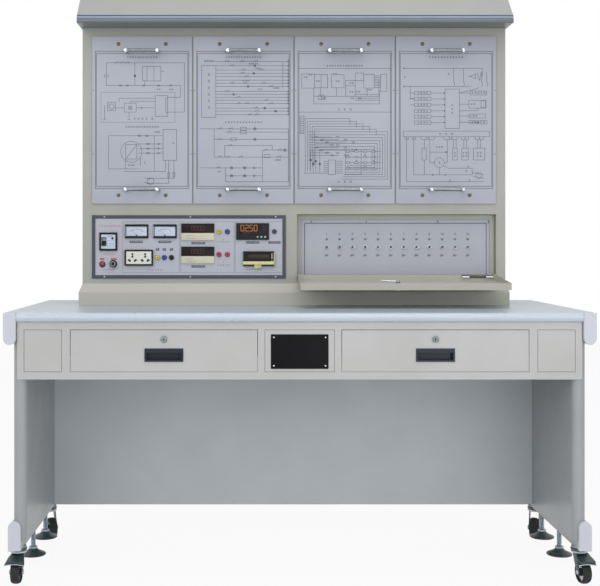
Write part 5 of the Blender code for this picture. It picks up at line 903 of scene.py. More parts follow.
class DiagramPanel:
    """One removable board with its printed circuit, two handles and its screws."""

    def __init__(self, number: int, circuit: Circuit, sizes: DiagramSizes = DiagramSizes()):
        """Reads the board's place from its node."""
        self.circuit = circuit
        self.sizes = sizes
        self.node = f"diagram_panel_{number}"
        low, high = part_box(self.node)
        self.half = ((high[0] - low[0]) / 2, (high[2] - low[2]) / 2)
        centre = ((low[0] + high[0]) / 2, high[1], (low[2] + high[2]) / 2)
        self.back = Mount(centre)
        self.face = self.back.at(0.0, 0.0, sizes.thick)

    def build(self) -> None:
        """Makes the board, the print, the handles and the screws."""
        width, height = self.half[0] * 2, self.half[1] * 2
        board = make_piece(f"{self.node}_board", [layers(self.back, (
            width - self.sizes.shadow_gap * 2, height - self.sizes.shadow_gap * 2), 0.0015, [
            (0.0006, 0.0), (0.0, 0.0006), (0.0, 0.0052), (0.0003, 0.0058), (0.0010, 0.0060)])],
            BOARD_PRINT, "bench")
        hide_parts(self.node)
        make_piece(f"{self.node}_print", [self.print_form()], LINE_INK, "bench")
        make_piece(f"{self.node}_frame_print", [self.frame_form()], DARK_INK, "bench")
        tops = (self.half[1] - self.sizes.handle_inset[0],
                self.sizes.handle_inset[1] - self.half[1])
        for label, v in zip(("top", "bottom"), tops):
            forms = self.handle_forms(v)
            # The grip's steel is darkened as a painted dark reflection; the feet are bright chrome.
            for part, some, finish in (("grip", forms[:1], STEEL_PAINTED_DARK_REFLECTION),
                                       ("feet", forms[1:], CHROME)):
                piece = make_piece(f"{self.node}_handle_{label}_{part}", some, finish, "bench")
                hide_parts(self.node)
        # The screw heads' brass is darkened as a painted dark reflection.
        make_piece(f"{self.node}_screws", list(self.screw_forms()), BRASS_PAINTED_DARK_REFLECTION, "bench",
                   50.0)

    def print_form(self) -> Form:
        """The circuit of this board as ink."""
        pen = Pen()
        CIRCUIT_DRAWINGS[self.circuit](pen)
        return pen.form(self.face, 1.2)

    def frame_form(self) -> Form:
        """The double printed frame."""
        pen = Pen()
        for step in (0, 1):
            u = self.half[0] - self.sizes.frame_side - step * self.sizes.frame_step[0]
            v = self.half[1] - self.sizes.frame_end - step * self.sizes.frame_step[1]
            pen.rectangle(-u / MM, -v / MM, u / MM, v / MM)
        return pen.form(self.face, 1.35)

    def handle_forms(self, v: float) -> list[Form]:
        """A rod bent forward at both ends, with a turned collar at each foot."""
        half, reach = self.sizes.spacing / 2, self.sizes.standoff
        bend = 0.012
        turn = np.linspace(0.0, np.pi / 2, 7)
        rise = np.linspace(-0.0005, reach - bend, 4)[:-1]
        u = np.concatenate([np.full(3, -half), -half + bend * (1 - np.cos(turn))])
        h = np.concatenate([rise, reach - bend + bend * np.sin(turn)])
        path = self.face.lift(np.concatenate([u, -u[::-1]]), v, np.concatenate([h, h[::-1]]))
        collar = [(self.sizes.foot_radius, 0.0), (self.sizes.foot_radius, 0.0015),
                  (0.0062, 0.0028), (self.sizes.rod_radius + 0.0003, 0.0045),
                  (self.sizes.rod_radius + 0.0003, 0.0060), (0.002, 0.0062)]
        feet = [turned(self.face.at(u, v), collar) for u in (-half, half)]
        neck = [(self.sizes.rod_radius + 0.0009, reach - bend * 1.1),
                (self.sizes.rod_radius + 0.0013, reach - bend * 0.9),
                (self.sizes.rod_radius + 0.0013, reach - bend * 0.2),
                (self.sizes.rod_radius + 0.0004, reach + 0.0024), (0.001, reach + 0.0040)]
        ends = [turned(self.face.at(u * (1 - 0.0028 / half), v), neck) for u in (-half, half)]
        return [rod(path, self.sizes.rod_radius)] + feet + ends

    def screw_forms(self) -> Iterable[Form]:
        """Four cross-headed screws and the small pins along both edges."""
        ends = (self.half[1] - self.sizes.screw_inset[0], self.sizes.screw_inset[1] - self.half[1])
        for v in ends:
            for u in (-self.sizes.screw_u, self.sizes.screw_u):
                yield turned(self.face.at(u, v), [(0.0062, 0.0), (0.0062, 0.0005), (0.0052, 0.0009),
                                                 (0.001, 0.0009)], 20)
                yield screw_head(self.face.at(u, v, 0.0008), self.sizes.screw_radius, 0.0024)
        for v in (-0.103, 0.090):
            for u in (-1, 1):
                yield screw_head(self.face.at(u * (self.half[0] - 0.0045), v),
                                 self.sizes.pin_radius, 0.0008)


# Instrument panel


@dataclass(frozen=True)
class PanelSizes:
    """The instrument panel's own sizes, in metres."""

    plate_thick: float = 0.0015
    bezel_thick: float = 0.0030
    bezel: float = 0.0104
    cover: float = 0.00025


class InstrumentPanel:
    """The dark bezel's plate with its meters, posts, labels and printed fields."""

    def __init__(self, sizes: PanelSizes = PanelSizes()):
        """Reads the panel's corner and face from its node."""
        self.sizes = sizes
        low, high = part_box("instrument_panel")
        self.width, self.height = high[0] - low[0], high[2] - low[2]
        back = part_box("diagram_panel_1")[1][1]
        corner = (low[0], back - sizes.plate_thick, high[2])
        self.corner = Mount(corner)

    def spot(self, inset_mm: float, drop_mm: float, h: float = 0.0) -> Mount:
        """A place on the plate, measured in millimetres from the panel's top left corner."""
        return self.corner.at(inset_mm * MM, -drop_mm * MM, h)

    def build(self) -> None:
        """Makes everything that the panel carries."""
        self.build_plate()
        self.build_print()
        self.build_analog_meters()
        self.build_digital_meters()
        self.build_posts()
        self.build_breaker_trim()
        self.build_socket_trim()
        self.build_controller_trim()
        self.build_connector_trim()
        self.build_lamp_and_fuse_trim()

    def build_plate(self) -> None:
        """The printed plate inside the bezel and the bezel's six screws."""
        wide, high = self.width - self.sizes.bezel * 2, self.height - self.sizes.bezel * 2
        middle = self.corner.at(self.width / 2, -self.height / 2)
        make_piece("instrument_plate", [layers(middle, (wide, high), 0.0006, [
            (0.0, -0.0001), (0.0, self.sizes.cover - 0.00005), (0.00005, self.sizes.cover)])],
            PLATE_PRINT, "bench")
        heads = []
        lift = self.sizes.bezel_thick - self.sizes.plate_thick
        for inset in (38.0, 300.0, 560.0):
            for drop in (5.0, 188.0):
                heads.append(screw_head(self.spot(inset, drop, lift), 0.0026, 0.0013))
        make_piece("instrument_bezel_screws", heads, SATIN_STEEL, "bench", 50.0)

    def build_print(self) -> None:
        """The four framed fields, the label strips and the bare caption marks."""
        face = self.corner.at(0.0, 0.0, self.sizes.cover)
        grey, pink, red, dark = Pen(), Pen(), Pen(), Pen()
        for pen, left, right in ((pink, 13.0, 90.9), (grey, 94.3, 266.4), (grey, 270.7, 433.4),
                                 (grey, 436.8, 581.0)):
            pen.rectangle(left, -175.4, right, -20.0)
        red.marks(52.5, -32.5, 8, 6.5, 8.8)
        red.marks(52.0, -118.5, 6, 3.4, 6.0)
        red.marks(52.0, -166.4, 6, 3.4, 6.0)
        for u, v, count in ((190.5, -166.4, 6), (400.4, -81.2, 5), (400.4, -152.3, 5),
                            (493.0, -165.5, 6), (400.4, -73.0, 1), (400.4, -144.0, 1)):
            dark.marks(u, v, count, 4.2, 8.2)
        for colour, pen, width_mm, ink in (("grey", grey, 0.8, LINE_INK),
                                           ("pink", pink, 1.0, PINK_INK),
                                           ("red", red, 0.95, RED_INK),
                                           ("dark", dark, 0.7, DARK_INK)):
            make_piece(f"instrument_{colour}_print", [pen.form(face, width_mm)], ink, "bench")
        strips = [(135.0, 81.2, 40.0, 7.2), (222.3, 81.2, 40.0, 7.2), (324.2, 85.1, 42.0, 7.2),
                  (324.2, 156.1, 42.0, 7.2), (490.3, 82.9, 40.0, 7.2), (556.7, 82.9, 38.0, 7.2),
                  (200.1, 104.3, 10.5, 7.6), (220.7, 104.3, 10.5, 7.6), (242.5, 104.3, 10.5, 7.6)]
        make_piece("instrument_label_strips", [
            plate(self.spot(u, v, self.sizes.cover), (w * MM, h * MM), 0.0006, 0.0008, 0.0002)
            for u, v, w, h in strips], TAG_INK, "bench")
        make_piece("instrument_red_strips", [
            plate(self.spot(u, 133.4, self.sizes.cover), (w * MM, 0.0062), 0.0006, 0.0008, 0.0002)
            for u, w in ((31.0, 14.0), (66.0, 18.0))], RED_INK, "bench")
        marks = Pen()
        for u, v, w, _ in strips:
            marks.marks(u, -v, max(1, int(w / 6.5)), 2.8, 5.6)
        make_piece("instrument_strip_marks", [marks.form(face.at(0, 0, 0.0006), 0.45)],
                   WHITE_INK, "bench")

    def build_analog_meters(self) -> None:
        """Two pointer meters: black frame, pale dial, a painted highlight strip, arc scale, pointer
        and lower cover.
        """
        for number, inset in enumerate((136.2, 222.6), start=1):
            spot = self.spot(inset, 49.0)
            size = (0.0718, 0.0423)
            frame_form = layers(spot, size, 0.002, [
                (0.0, 0.0004), (0.0, 0.0058), (0.0006, 0.0066), (0.0028, 0.0066),
                (0.0036, 0.0058), (0.0040, 0.0034), (0.0040, 0.0004)], True)
            bars = [plate(spot.at(0, v, 0.0032), (0.064, 0.0030), 0.0030, 0.0006)
                    for v in (0.0160, -0.0160)]
            make_piece(f"analog_meter_{number}_frame", [frame_form] + bars, BLACK_PLASTIC_AND_HOLE_SHADE,
                       "bench")
            make_piece(f"analog_meter_{number}_dial", [plate(spot.at(0, 0, 0.0030),
                       (0.0636, 0.0330), 0.0006, 0.0006)], PALE_FACE, "bench")
            # A thin pale strip by the frame's inner left edge: a painted highlight for the light on
            # the glass's edge.
            painted_glint = plate(spot.at(-0.0344, 0, 0.0060), (0.0014, 0.0340), 0.0010, 0.0004, 0.0002)
            make_piece(f"analog_meter_{number}_painted_glint_strip", [painted_glint], PALE_FACE, "bench")
            scale = Pen()
            turn = np.radians(np.linspace(40, 140, 21))
            arc = np.stack([26 * np.cos(turn), 22 * np.sin(turn) - 16], axis=-1)
            scale.chain(*map(tuple, arc.tolist()))
            outer = np.stack([28.5 * np.cos(turn), 24.5 * np.sin(turn) - 16], axis=-1)
            scale.lines += np.hstack([arc[::2], outer[::2]]).tolist()
            scale.chain((0, -13), (-13, 4))
            scale.lines += [(-3.5, -9, 3.5, -9)]
            make_piece(f"analog_meter_{number}_scale", [
                scale.form(spot.at(0, 0, 0.0036), 0.6),
                turned(spot.at(0, -0.0125, 0.0036), [(0.0022, 0.0), (0.0022, 0.0008),
                                                    (0.0005, 0.0012)], 16)],
                DARK_INK, "bench")

    def build_digital_meters(self) -> None:
        """Two digital meters: smoked window with dim digits over a bare cream strip."""
        for number, drop in enumerate((51.0, 121.5), start=1):
            spot = self.spot(322.8, drop)
            upper = spot.at(0.0, 0.0112)
            lower = spot.at(0.0, -0.0144)
            make_piece(f"digital_meter_{number}_frame", [layers(upper, (0.1006, 0.0292), 0.0012, [
                (0.0, 0.0004), (0.0, 0.0042), (0.0005, 0.0048), (0.0028, 0.0048),
                (0.0034, 0.0040), (0.0036, 0.0004)], True)], BLACK_PLASTIC_AND_HOLE_SHADE, "bench")
            make_piece(f"digital_meter_{number}_window", [
                plate(upper, (0.0940, 0.0228), 0.0044, 0.0006, 0.0002)], WINDOW, "bench")
            make_piece(f"digital_meter_{number}_cover", [
                plate(lower, (0.1006, 0.0222), 0.0048, 0.0012, 0.0006)], CREAM_PLASTIC, "bench")
            digits = Pen()
            digits.lines = word("0000", 0, 0, 14)
            make_piece(f"digital_meter_{number}_digits", [
                digits.form(upper.at(0, 0, 0.0044), 1.1)], DIM_GLOW, "bench")
            marks = Pen()
            marks.marks(-26, 3.5, 5, 3.0, 4.4)
            marks.marks(-20, -4.5, 8, 2.0, 3.6)
            make_piece(f"digital_meter_{number}_marks", [
                marks.form(lower.at(0, 0, 0.0048), 0.45)], LINE_INK, "bench")

    def post(self, inset: float, drop: float) -> list[Form]:
        """A binding post: flanged collar, nose and the bore for a plug."""
        spot = self.spot(inset, drop, self.sizes.cover)
        collar = [(0.0080, 0.0), (0.0080, 0.0026), (0.0075, 0.0032), (0.0063, 0.0036),
                  (0.0062, 0.0056), (0.0056, 0.0061), (0.0021, 0.0061), (0.0020, 0.0020),
                  (0.0040, 0.0008)]
        return [turned(spot, collar, 24, True)]

    def build_posts(self) -> None:
        """The binding posts in their colours, each with a black plug in its bore as painted shade.
        """
        groups = (
            ("yellow", YELLOW_PLASTIC, [(200.1, 128.9), (387.6, 50.2)]),
            ("blue", BLUE_PLASTIC, [(220.7, 128.9), (412.9, 50.2)]),
            ("black", BLACK_PLASTIC_AND_HOLE_SHADE, [(242.5, 128.9)]),
            ("red", RED_PLASTIC, [(387.6, 119.5), (412.9, 119.5)]),
        )
        every = []
        for name, finish, places in groups:
            forms = [form for place in places for form in self.post(*place)]
            make_piece(f"binding_posts_{name}", forms, finish, "bench")
            every += places
        jack = self.spot(556.3, 49.7, self.sizes.cover)
        make_piece("sensor_jack_ring", [turned(jack, [
            (0.0052, 0.0), (0.0052, 0.0010), (0.0046, 0.0015), (0.0032, 0.0015), (0.0030, 0.0)],
            24, True)], SATIN_STEEL, "bench")
        make_piece("sensor_jack_core", [turned(jack, [
            (0.0031, 0.0), (0.0031, 0.0008), (0.0010, 0.0008)], 20)], BLACK_PLASTIC_AND_HOLE_SHADE, "bench")
        # Black plugs set just under each post's mouth: painted shade in the bores.
        make_piece("binding_post_bore_shades", [
            turned(self.spot(u, v, 0.0052), [(0.0021, -0.003), (0.0021, 0.0004), (0.0006, 0.0004)],
                   12) for u, v in every], BLACK_PLASTIC_AND_HOLE_SHADE, "bench")

    def build_breaker_trim(self) -> None:
        """The breaker's pale face around its lever well, in the black surround."""
        middle, *size = front_of(*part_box("breaker_body"))
        make_piece("breaker_surround", [layers(middle, (size[0] + 0.0006, size[1] + 0.0006),
                   0.0015, [(0.0, -0.0045), (0.0, 0.0006), (0.0006, 0.0012), (0.0052, 0.0012),
                            (0.0058, 0.0006), (0.0058, -0.0045)], True)], BLACK_PLASTIC_AND_HOLE_SHADE, "bench")
        half = size[0] / 2 - 0.0056
        cuts_u = (-half, -0.0198, -0.0062, half)
        cuts_v = (-half, -0.0128, 0.0128, half)
        cells = []
        for i, (left, right) in enumerate(zip(cuts_u, cuts_u[1:])):
            for j, (base, top) in enumerate(zip(cuts_v, cuts_v[1:])):
                if (i, j) != (1, 1):
                    cells.append(layers(middle.at((left + right) / 2, (base + top) / 2),
                                        (right - left, top - base), 0.00002,
                                        [(0.0, 0.0), (0.0, 0.0005)]))
        make_piece("breaker_face", cells, PALE_FACE, "bench")
        well = middle.at(-0.013, 0.0, 0.0005)
        make_piece("breaker_well_rim", [layers(well, (0.0150, 0.0270), 0.001, [
            (0.0, -0.0004), (0.0, 0.0004), (0.0003, 0.0007), (0.0012, 0.0007), (0.0015, 0.0),
            (0.0015, -0.0004)], True)], BLACK_PLASTIC_AND_HOLE_SHADE, "bench")
        face = Pen()
        top_print = Pen()
        top_print.marks(5, 16.5, 3, 4.0, 6.0)
        make_piece("breaker_red_print", [top_print.form(middle.at(0, 0, 0.0005), 1.0)],
                   RED_INK, "bench")
        face.marks(9, -6, 4, 2.4, 4.0)
        face.marks(9, -12, 4, 2.4, 4.0)
        face.rectangle(-3, -17, 18, 3)
        make_piece("breaker_face_print", [face.form(middle.at(0, 0, 0.0005), 0.5)], LINE_INK,
                   "bench")

    def build_socket_trim(self) -> None:
        """The outlet's black frame, and black plates over its holes as painted shade."""
        insert, width, height = front_of(*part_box("power_socket"))
        size = (width + 0.0008, height + 0.0008)
        make_piece("power_socket_frame", [layers(insert, size, 0.002, [
            (0.0, -0.0065), (0.0, 0.0002), (0.0008, 0.0010), (0.0038, 0.0010),
            (0.0046, 0.0004), (0.0050, -0.0008), (0.0050, -0.0065)], True)], BLACK_PLASTIC_AND_HOLE_SHADE,
            "bench")
        # Thin black plates on the face where the holes are: painted shade of the holes.
        hole_shades, slants = [], []
        for shift in (-0.0195, 0.0195):
            for v in (0.0108, 0.0030):
                hole_shades.append(plate(insert.at(shift, v), (0.0062, 0.0062), 0.00015, 0.0026,
                                    0.00005))
            for side in (-1, 1):
                tilted = turned_mount(insert.at(shift + side * 0.0092, -0.0086), side * 32.0)
                slants.append(plate(tilted, (0.0100, 0.0052), 0.00015, 0.0016, 0.00005))
        make_piece("power_socket_hole_shades", hole_shades + slants, BLACK_PLASTIC_AND_HOLE_SHADE, "bench")

    def build_controller_trim(self) -> None:
        """The controller's glass, its lit digits, the lighter caps on its keys and its marks."""
        middle, _, _ = front_of(*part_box("controller"))
        glass = middle.at(-0.006, 0.006, -0.001)
        make_piece("controller_window", [plate(glass, (0.070, 0.030), 0.0006, 0.001, 0.0002)],
                   WINDOW, "bench")
        large, small = Pen(), Pen()
        large.lines = word("0250", -5, 4.5, 18)
        small.lines = word("0250", -13, -10, 7)
        make_piece("controller_digits", [large.form(glass.at(0, 0, 0.0006), 1.7)], ORANGE_GLOW,
                   "bench")
        make_piece("controller_small_digits", [small.form(glass.at(0, 0, 0.0006), 0.9)],
                   DIM_GLOW, "bench")
        keys = {1: GREEN_KEY_FACE_PAINTED_LIGHT, 2: TEAL_KEY_FACE_PAINTED_LIGHT, 3: TEAL_KEY_FACE_PAINTED_LIGHT}
        for number, finish in keys.items():
            key, width, _ = front_of(*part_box(f"controller_key_{number}"))
            wide = width * 0.8
            # Each key's front face takes a lighter copy of its moulding: painted light.
            make_piece(f"controller_key_{number}_cap", [plate(
                key, (wide, wide * 0.8), 0.0004, 0.0012, 0.0003)], finish,
                f"controller_key_{number}_body")
        marks = Pen()
        marks.marks(36, 14, 2, 3.0, 5.0)
        marks.marks(36, 4, 2, 3.0, 5.0)
        marks.marks(-36, 20, 3, 2.4, 4.0)
        make_piece("controller_marks", [marks.form(middle.at(0, 0, -0.001), 0.45)], TAG_INK,
                   "bench")

    def build_connector_trim(self) -> None:
        """The connector's lipped mouth, rows of contacts, chromate bar, tab and bail ear."""
        middle, _, _ = front_of(*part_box("connector"))
        mouth = middle.at(0.0, 0.008, -0.004)
        make_piece("connector_mouth", [layers(mouth, (0.092, 0.0270), 0.006, [
            (0.0, -0.008), (0.0, 0.0022), (0.0010, 0.0032), (0.0035, 0.0032), (0.0045, 0.0024),
            (0.0050, -0.002), (0.0050, -0.008)], True)], BLACK_PLASTIC_AND_HOLE_SHADE, "bench")
        pins = [turned(mouth.at((i - 8.5) * 0.0034, v, -0.009),
                       [(0.0008, 0.0), (0.0008, 0.0070), (0.0003, 0.0080)], 8)
                for i in range(18) for v in (-0.0032, 0.0032)]
        make_piece("connector_contacts", pins, CONTACTS, "bench")
        make_piece("connector_floor", [plate(mouth.at(0, 0, -0.0062), (0.0810, 0.0160), 0.0012,
                   0.004)], CONTACTS, "bench")
        bar = middle.at(0.0, -0.013, 0.0008)
        make_piece("connector_bar", [
            layers(bar, (0.0948, 0.0096), 0.0015, [(0.0, -0.010), (0.0, -0.0004), (0.0008, 0.0),
                                                  (0.0016, 0.0)]),
            layers(bar.at(-0.0025, -0.0088, -0.0120), (0.022, 0.0125), 0.0050, [
                (0.0, 0.0), (0.0, 0.0088), (0.0006, 0.0094), (0.0034, 0.0094),
                (0.0040, 0.0088), (0.0040, 0.0)], True),
            plate(bar.at(-0.0025, -0.0090, -0.0120), (0.0150, 0.0080), 0.0080, 0.0034, 0.0006),
            layers(bar.at(0.0440, 0.0150, -0.004), (0.0100, 0.0330), 0.0040, [
                (0.0, -0.006), (0.0, 0.0010), (0.0006, 0.0016), (0.0024, 0.0016),
                (0.0030, 0.0010), (0.0030, -0.006)], True),
        ], CHROMATE, "bench")

    def build_lamp_and_fuse_trim(self) -> None:
        """The black rim of the lamp and the steel ring of the fuse cap."""
        make_piece("lamp_rim", [turned(self.spot(31.9, 149.5, self.sizes.cover), [
            (0.0096, 0.0), (0.0096, 0.0016), (0.0090, 0.0022), (0.0080, 0.0022),
            (0.0079, 0.0)], 28, True)], BLACK_PLASTIC_AND_HOLE_SHADE, "bench")
        top, _, _ = front_of(*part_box("fuse_cap"))
        make_piece("fuse_cap_ring", [turned(top, [
            (0.0074, -0.0004), (0.0074, 0.0002), (0.0060, 0.0002), (0.0058, -0.0004)], 28, True)],
            SATIN_STEEL, "fuse_cap_body")


# Switch recess


class SwitchBoard:
    """The board in the recess: its print, its twelve bushings and the screws of its flange."""

    def __init__(self) -> None:
        """Reads the board's face from its node and the toggles' places from theirs."""
        low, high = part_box("switch_board")
        self.width, self.height = high[0] - low[0], high[2] - low[2]
        self.face_y = high[1] - 0.002
        self.middle = Mount(((low[0] + high[0]) / 2, self.face_y, (low[2] + high[2]) / 2))
        spots = [JOINTS[f"toggle_{i:02d}_flick"]["pos_m"] for i in range(1, 13)]
        self.toggles = [Mount((spot[0], self.face_y, spot[2])) for spot in spots]

    def build(self) -> None:
        """Makes the printed board, its border, numbers, bushings and screws."""
        board = make_piece("switch_board_plate", [layers(
            self.middle.at(0, 0, -0.002), (self.width, self.height), 0.001,
            [(0.0003, 0.0), (0.0, 0.0003), (0.0, 0.0017), (0.0003, 0.0020)])],
            BOARD_PRINT, "bench")
        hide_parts("switch_board")
        # The bushings' steel is darkened as a painted dark reflection.
        bushings = make_piece("switch_board_bushings", list(self.bushing_forms()), STEEL_PAINTED_DARK_REFLECTION,
                              "bench")
        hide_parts("switch_board")
        washers = [turned(toggle, [(0.0080, 0.0), (0.0080, 0.0004), (0.0074, 0.0009),
                                   (0.0062, 0.0009), (0.0060, 0.0)], 24, True)
                   for toggle in self.toggles]
        make_piece("switch_board_washers", washers, SATIN_STEEL, "bench", 50.0)
        border = Pen()
        border.rectangle(-0.5 * self.width / MM + 22, -0.5 * self.height / MM + 16.5,
                         0.5 * self.width / MM - 22, 0.5 * self.height / MM - 24)
        make_piece("switch_board_border", [border.form(self.middle, 2.0)], DARK_INK, "bench")
        letters = Pen()
        for number, toggle in enumerate(self.toggles, start=1):
            u = (toggle.origin[0] - self.middle.origin[0]) / MM
            v = (toggle.origin[2] - self.middle.origin[2]) / MM
            letters.lines += word(str(number), u, v + 41, 6)
            letters.lines += word("ON", u, v + 25, 5)
            letters.lines += word("OFF", u, v - 25, 5)
        make_piece("switch_board_letters", [letters.form(self.middle, 1.1)], LINE_INK, "bench")
        heads = [screw_head(self.middle.at(u * self.width / 2, self.height / 2 - 0.0190), 0.0030,
                            0.0014) for u in (-0.86, -0.30, 0.43, 0.95)]
        # The screw heads' steel is darkened as a painted dark reflection.
        make_piece("switch_board_screws", heads, STEEL_PAINTED_DARK_REFLECTION, "bench", 50.0)
        make_piece("switch_recess_stop", [self.stop_form()], CABINET_ENAMEL, "bench")

    def stop_form(self) -> Form:
        """The folded stop round the recess that the closed flap's rim comes up to."""
        return layers(self.middle, (self.width + 0.0040, self.height + 0.0040), 0.0010, [
            (0.0, 0.0), (0.0, 0.0050), (0.0004, 0.0053), (0.0138, 0.0053), (0.0142, 0.0049),
            (0.0142, 0.0)], True)

    def bushing_forms(self) -> Iterable[Form]:
        """A washer, a six-sided nut and a grooved bushing round every toggle."""
        for toggle in self.toggles:
            yield turned(toggle, [(0.0059, 0.0), (0.0059, 0.0006), (0.0056, 0.0008),
                                  (0.0030, 0.0008), (0.0030, 0.0)], 24, True)
            yield turned(toggle, [(0.0060, 0.0004), (0.0060, 0.0018), (0.0055, 0.0022),
                                  (0.0030, 0.0022), (0.0030, 0.0004)], 6, True)
            yield turned(toggle, [(0.0034, 0.0004), (0.0034, 0.0030), (0.0031, 0.0033),
                                  (0.0034, 0.0036), (0.0031, 0.0039), (0.0034, 0.0042),
                                  (0.0031, 0.0045), (0.0034, 0.0048), (0.0032, 0.0055),
                                  (0.0025, 0.0055), (0.0025, 0.0004)], 20, True)


class Flap:
    """The open flap's hinge leaf, darkened as painted shade, with its bright knuckles, and the trim
    of the latch.
    """

    def __init__(self) -> None:
        """Reads the flap's rear edge and its latch from their nodes."""
        low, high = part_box("flap")
        self.right, self.rear, self.top = high[0], high[1], high[2]
        latch = JOINTS["flap_latch_turn"]
        self.out = tuple(float(c) for c in latch["axis"])
        self.latch = latch["pos_m"]

    def build(self) -> None:
        """Makes the hinge leaf, its knuckles and the latch's curved lever."""
        rise, lean = self.out[2], self.out[1]
        centre = Mount((self.right - 0.057, self.rear - 0.0099, self.top - 0.0054),
                       up=(0.0, lean, rise), out=(0.0, -rise, lean))
        # The leaf's dark steel is painted shade inside the flap's rim.
        make_piece("flap_hinge_leaf", [plate(centre, (0.098, 0.0098), 0.0016, 0.001)],
                   HINGE_STEEL_PAINTED_SHADE, "flap_body")
        knuckle = [(0.0022, 0.0), (0.0030, 0.0005), (0.0030, 0.0225), (0.0022, 0.0230)]
        forms = []
        for start in (-0.0480, 0.0250):
            spot = Mount(centre.at(start, -0.0018, 0.0022).origin, (0, 1, 0), (0, 0, 1), (1, 0, 0))
            forms.append(turned(spot, knuckle, 16))
        make_piece("flap_hinge_knuckles", forms, CHROME, "flap_body")
        pivot = Mount(self.latch, up=(0.0, rise, -lean), out=self.out)
        make_piece("flap_latch_knob", [turned(pivot, [
            (0.0060, 0.0040), (0.0076, 0.0056), (0.0078, 0.0175), (0.0070, 0.0215),
            (0.0046, 0.0238), (0.0010, 0.0245)], 32)], CHROME, "flap_latch_body")
        share = np.linspace(0.0, 1.0, 14)
        path = pivot.lift(-0.0475 * share, 0.003 * share,
                          0.0205 + 0.0028 * np.sin(share * np.pi / 2))
        taper = 0.0038 - 0.0024 * share ** 0.5
        make_piece("flap_latch_lever", [rod(path, taper, across=self.out)], CHROME,
                   "flap_latch_body")


# Bench, canopy and running gear


class Bench:
    """Trim of the bench: the bare nameplate, the drawer locks and the painted shade in the apron's
    grooves.
    """

    def __init__(self) -> None:
        """Reads the apron's box from its node."""
        self.apron_low, self.apron_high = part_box("apron")

    def build(self) -> None:
        """Makes the nameplate with its four rivets, the lock faces and the painted shade lines in
        the apron's grooves.
        """
        top = self.apron_high[2]
        middle = Mount((0.0, self.apron_low[1], top - 0.0795))
        make_piece("nameplate", [plate(middle, (0.1560, 0.0935), 0.0012, 0.002, 0.0004)],
                   BLACK_PLATE_AND_KEYWAY_SHADE, "bench")
        rivets = [turned(middle.at(u, v, 0.0010), [(0.0022, 0.0), (0.0020, 0.0006),
                                                  (0.0011, 0.0010), (0.0003, 0.0011)], 16)
                  for u in (-0.0700, 0.0700) for v in (-0.0385, 0.0385)]
        make_piece("nameplate_rivets", rivets, CHROME, "bench")
        # Thin dark lines in the apron's grooves: painted shade.
        make_piece("apron_groove_painted_shade", list(self.seam_forms()), GROOVE_PAINTED_SHADE, "bench")
        for hand in ("left", "right"):
            self.build_lock(hand)

    def build_lock(self, hand: str) -> None:
        """One drawer lock's face: turned rosette, flat plug and a black plate over the keyway as
        painted shade.
        """
        points = corners_of(f"drawer_lock_{hand}")
        front = points[points[:, 1] < points[:, 1].min() + 0.0002]
        middle = (front.min(axis=0) + front.max(axis=0)) / 2
        face = Mount(tuple(float(c) for c in middle))
        radius = float(front[:, 0].max() - front[:, 0].min()) / 2
        rosette = [(radius * 0.60, 0.0001), (radius * 0.98, 0.0001), (radius * 0.98, 0.0004),
                   (radius * 0.86, 0.0014), (radius * 0.70, 0.0016), (radius * 0.60, 0.0008)]
        plug = [(radius * 0.57, 0.0001), (radius * 0.57, 0.0006), (radius * 0.50, 0.0010),
                (0.0002, 0.0010)]
        make_piece(f"drawer_lock_{hand}_rosette", [turned(face, rosette, 36, True)],
                   LOCK_NICKEL, f"drawer_lock_{hand}_body")
        make_piece(f"drawer_lock_{hand}_plug", [turned(face, plug, 30)], LOCK_NICKEL,
                   f"drawer_lock_{hand}_body")
        # The black plates over the keyway are painted shade.
        slot = [plate(face.at(0.0, 0.0, 0.0010), (0.0016, radius * 0.80), 0.0002, 0.0006, 0.0001),
                plate(face.at(0.0, 0.0, 0.0010), (0.0040, 0.0024), 0.0002, 0.0008, 0.0001)]
        make_piece(f"drawer_lock_{hand}_keyway", slot, BLACK_PLATE_AND_KEYWAY_SHADE, f"drawer_lock_{hand}_body")

    def seam_forms(self) -> Iterable[Form]:
        """A thin line of painted shade on the floor of each groove pressed into the apron's ends.
        """
        corners = corners_of("apron")
        depth = 0.0008
        floor = np.abs(corners[:, 1] - self.apron_low[1] - depth) < 0.0001
        outer = np.abs(corners[:, 0]) > self.apron_high[0] * 0.8
        fields = (outer & (corners[:, 0] < 0), np.abs(corners[:, 0]) < 0.12,
                  outer & (corners[:, 0] > 0))
        for field_points in fields:
            chosen = corners[floor & field_points]
            low, high = chosen.min(axis=0), chosen.max(axis=0)
            middle = Mount(((low[0] + high[0]) / 2, float(low[1]), (low[2] + high[2]) / 2))
            yield layers(middle, (high[0] - low[0] - 0.0002, high[2] - low[2] - 0.0002), 0.0003,
                         [(0.0, 0.00005), (0.0, 0.0005), (0.0012, 0.0005), (0.0012, 0.00005)],
                         True)


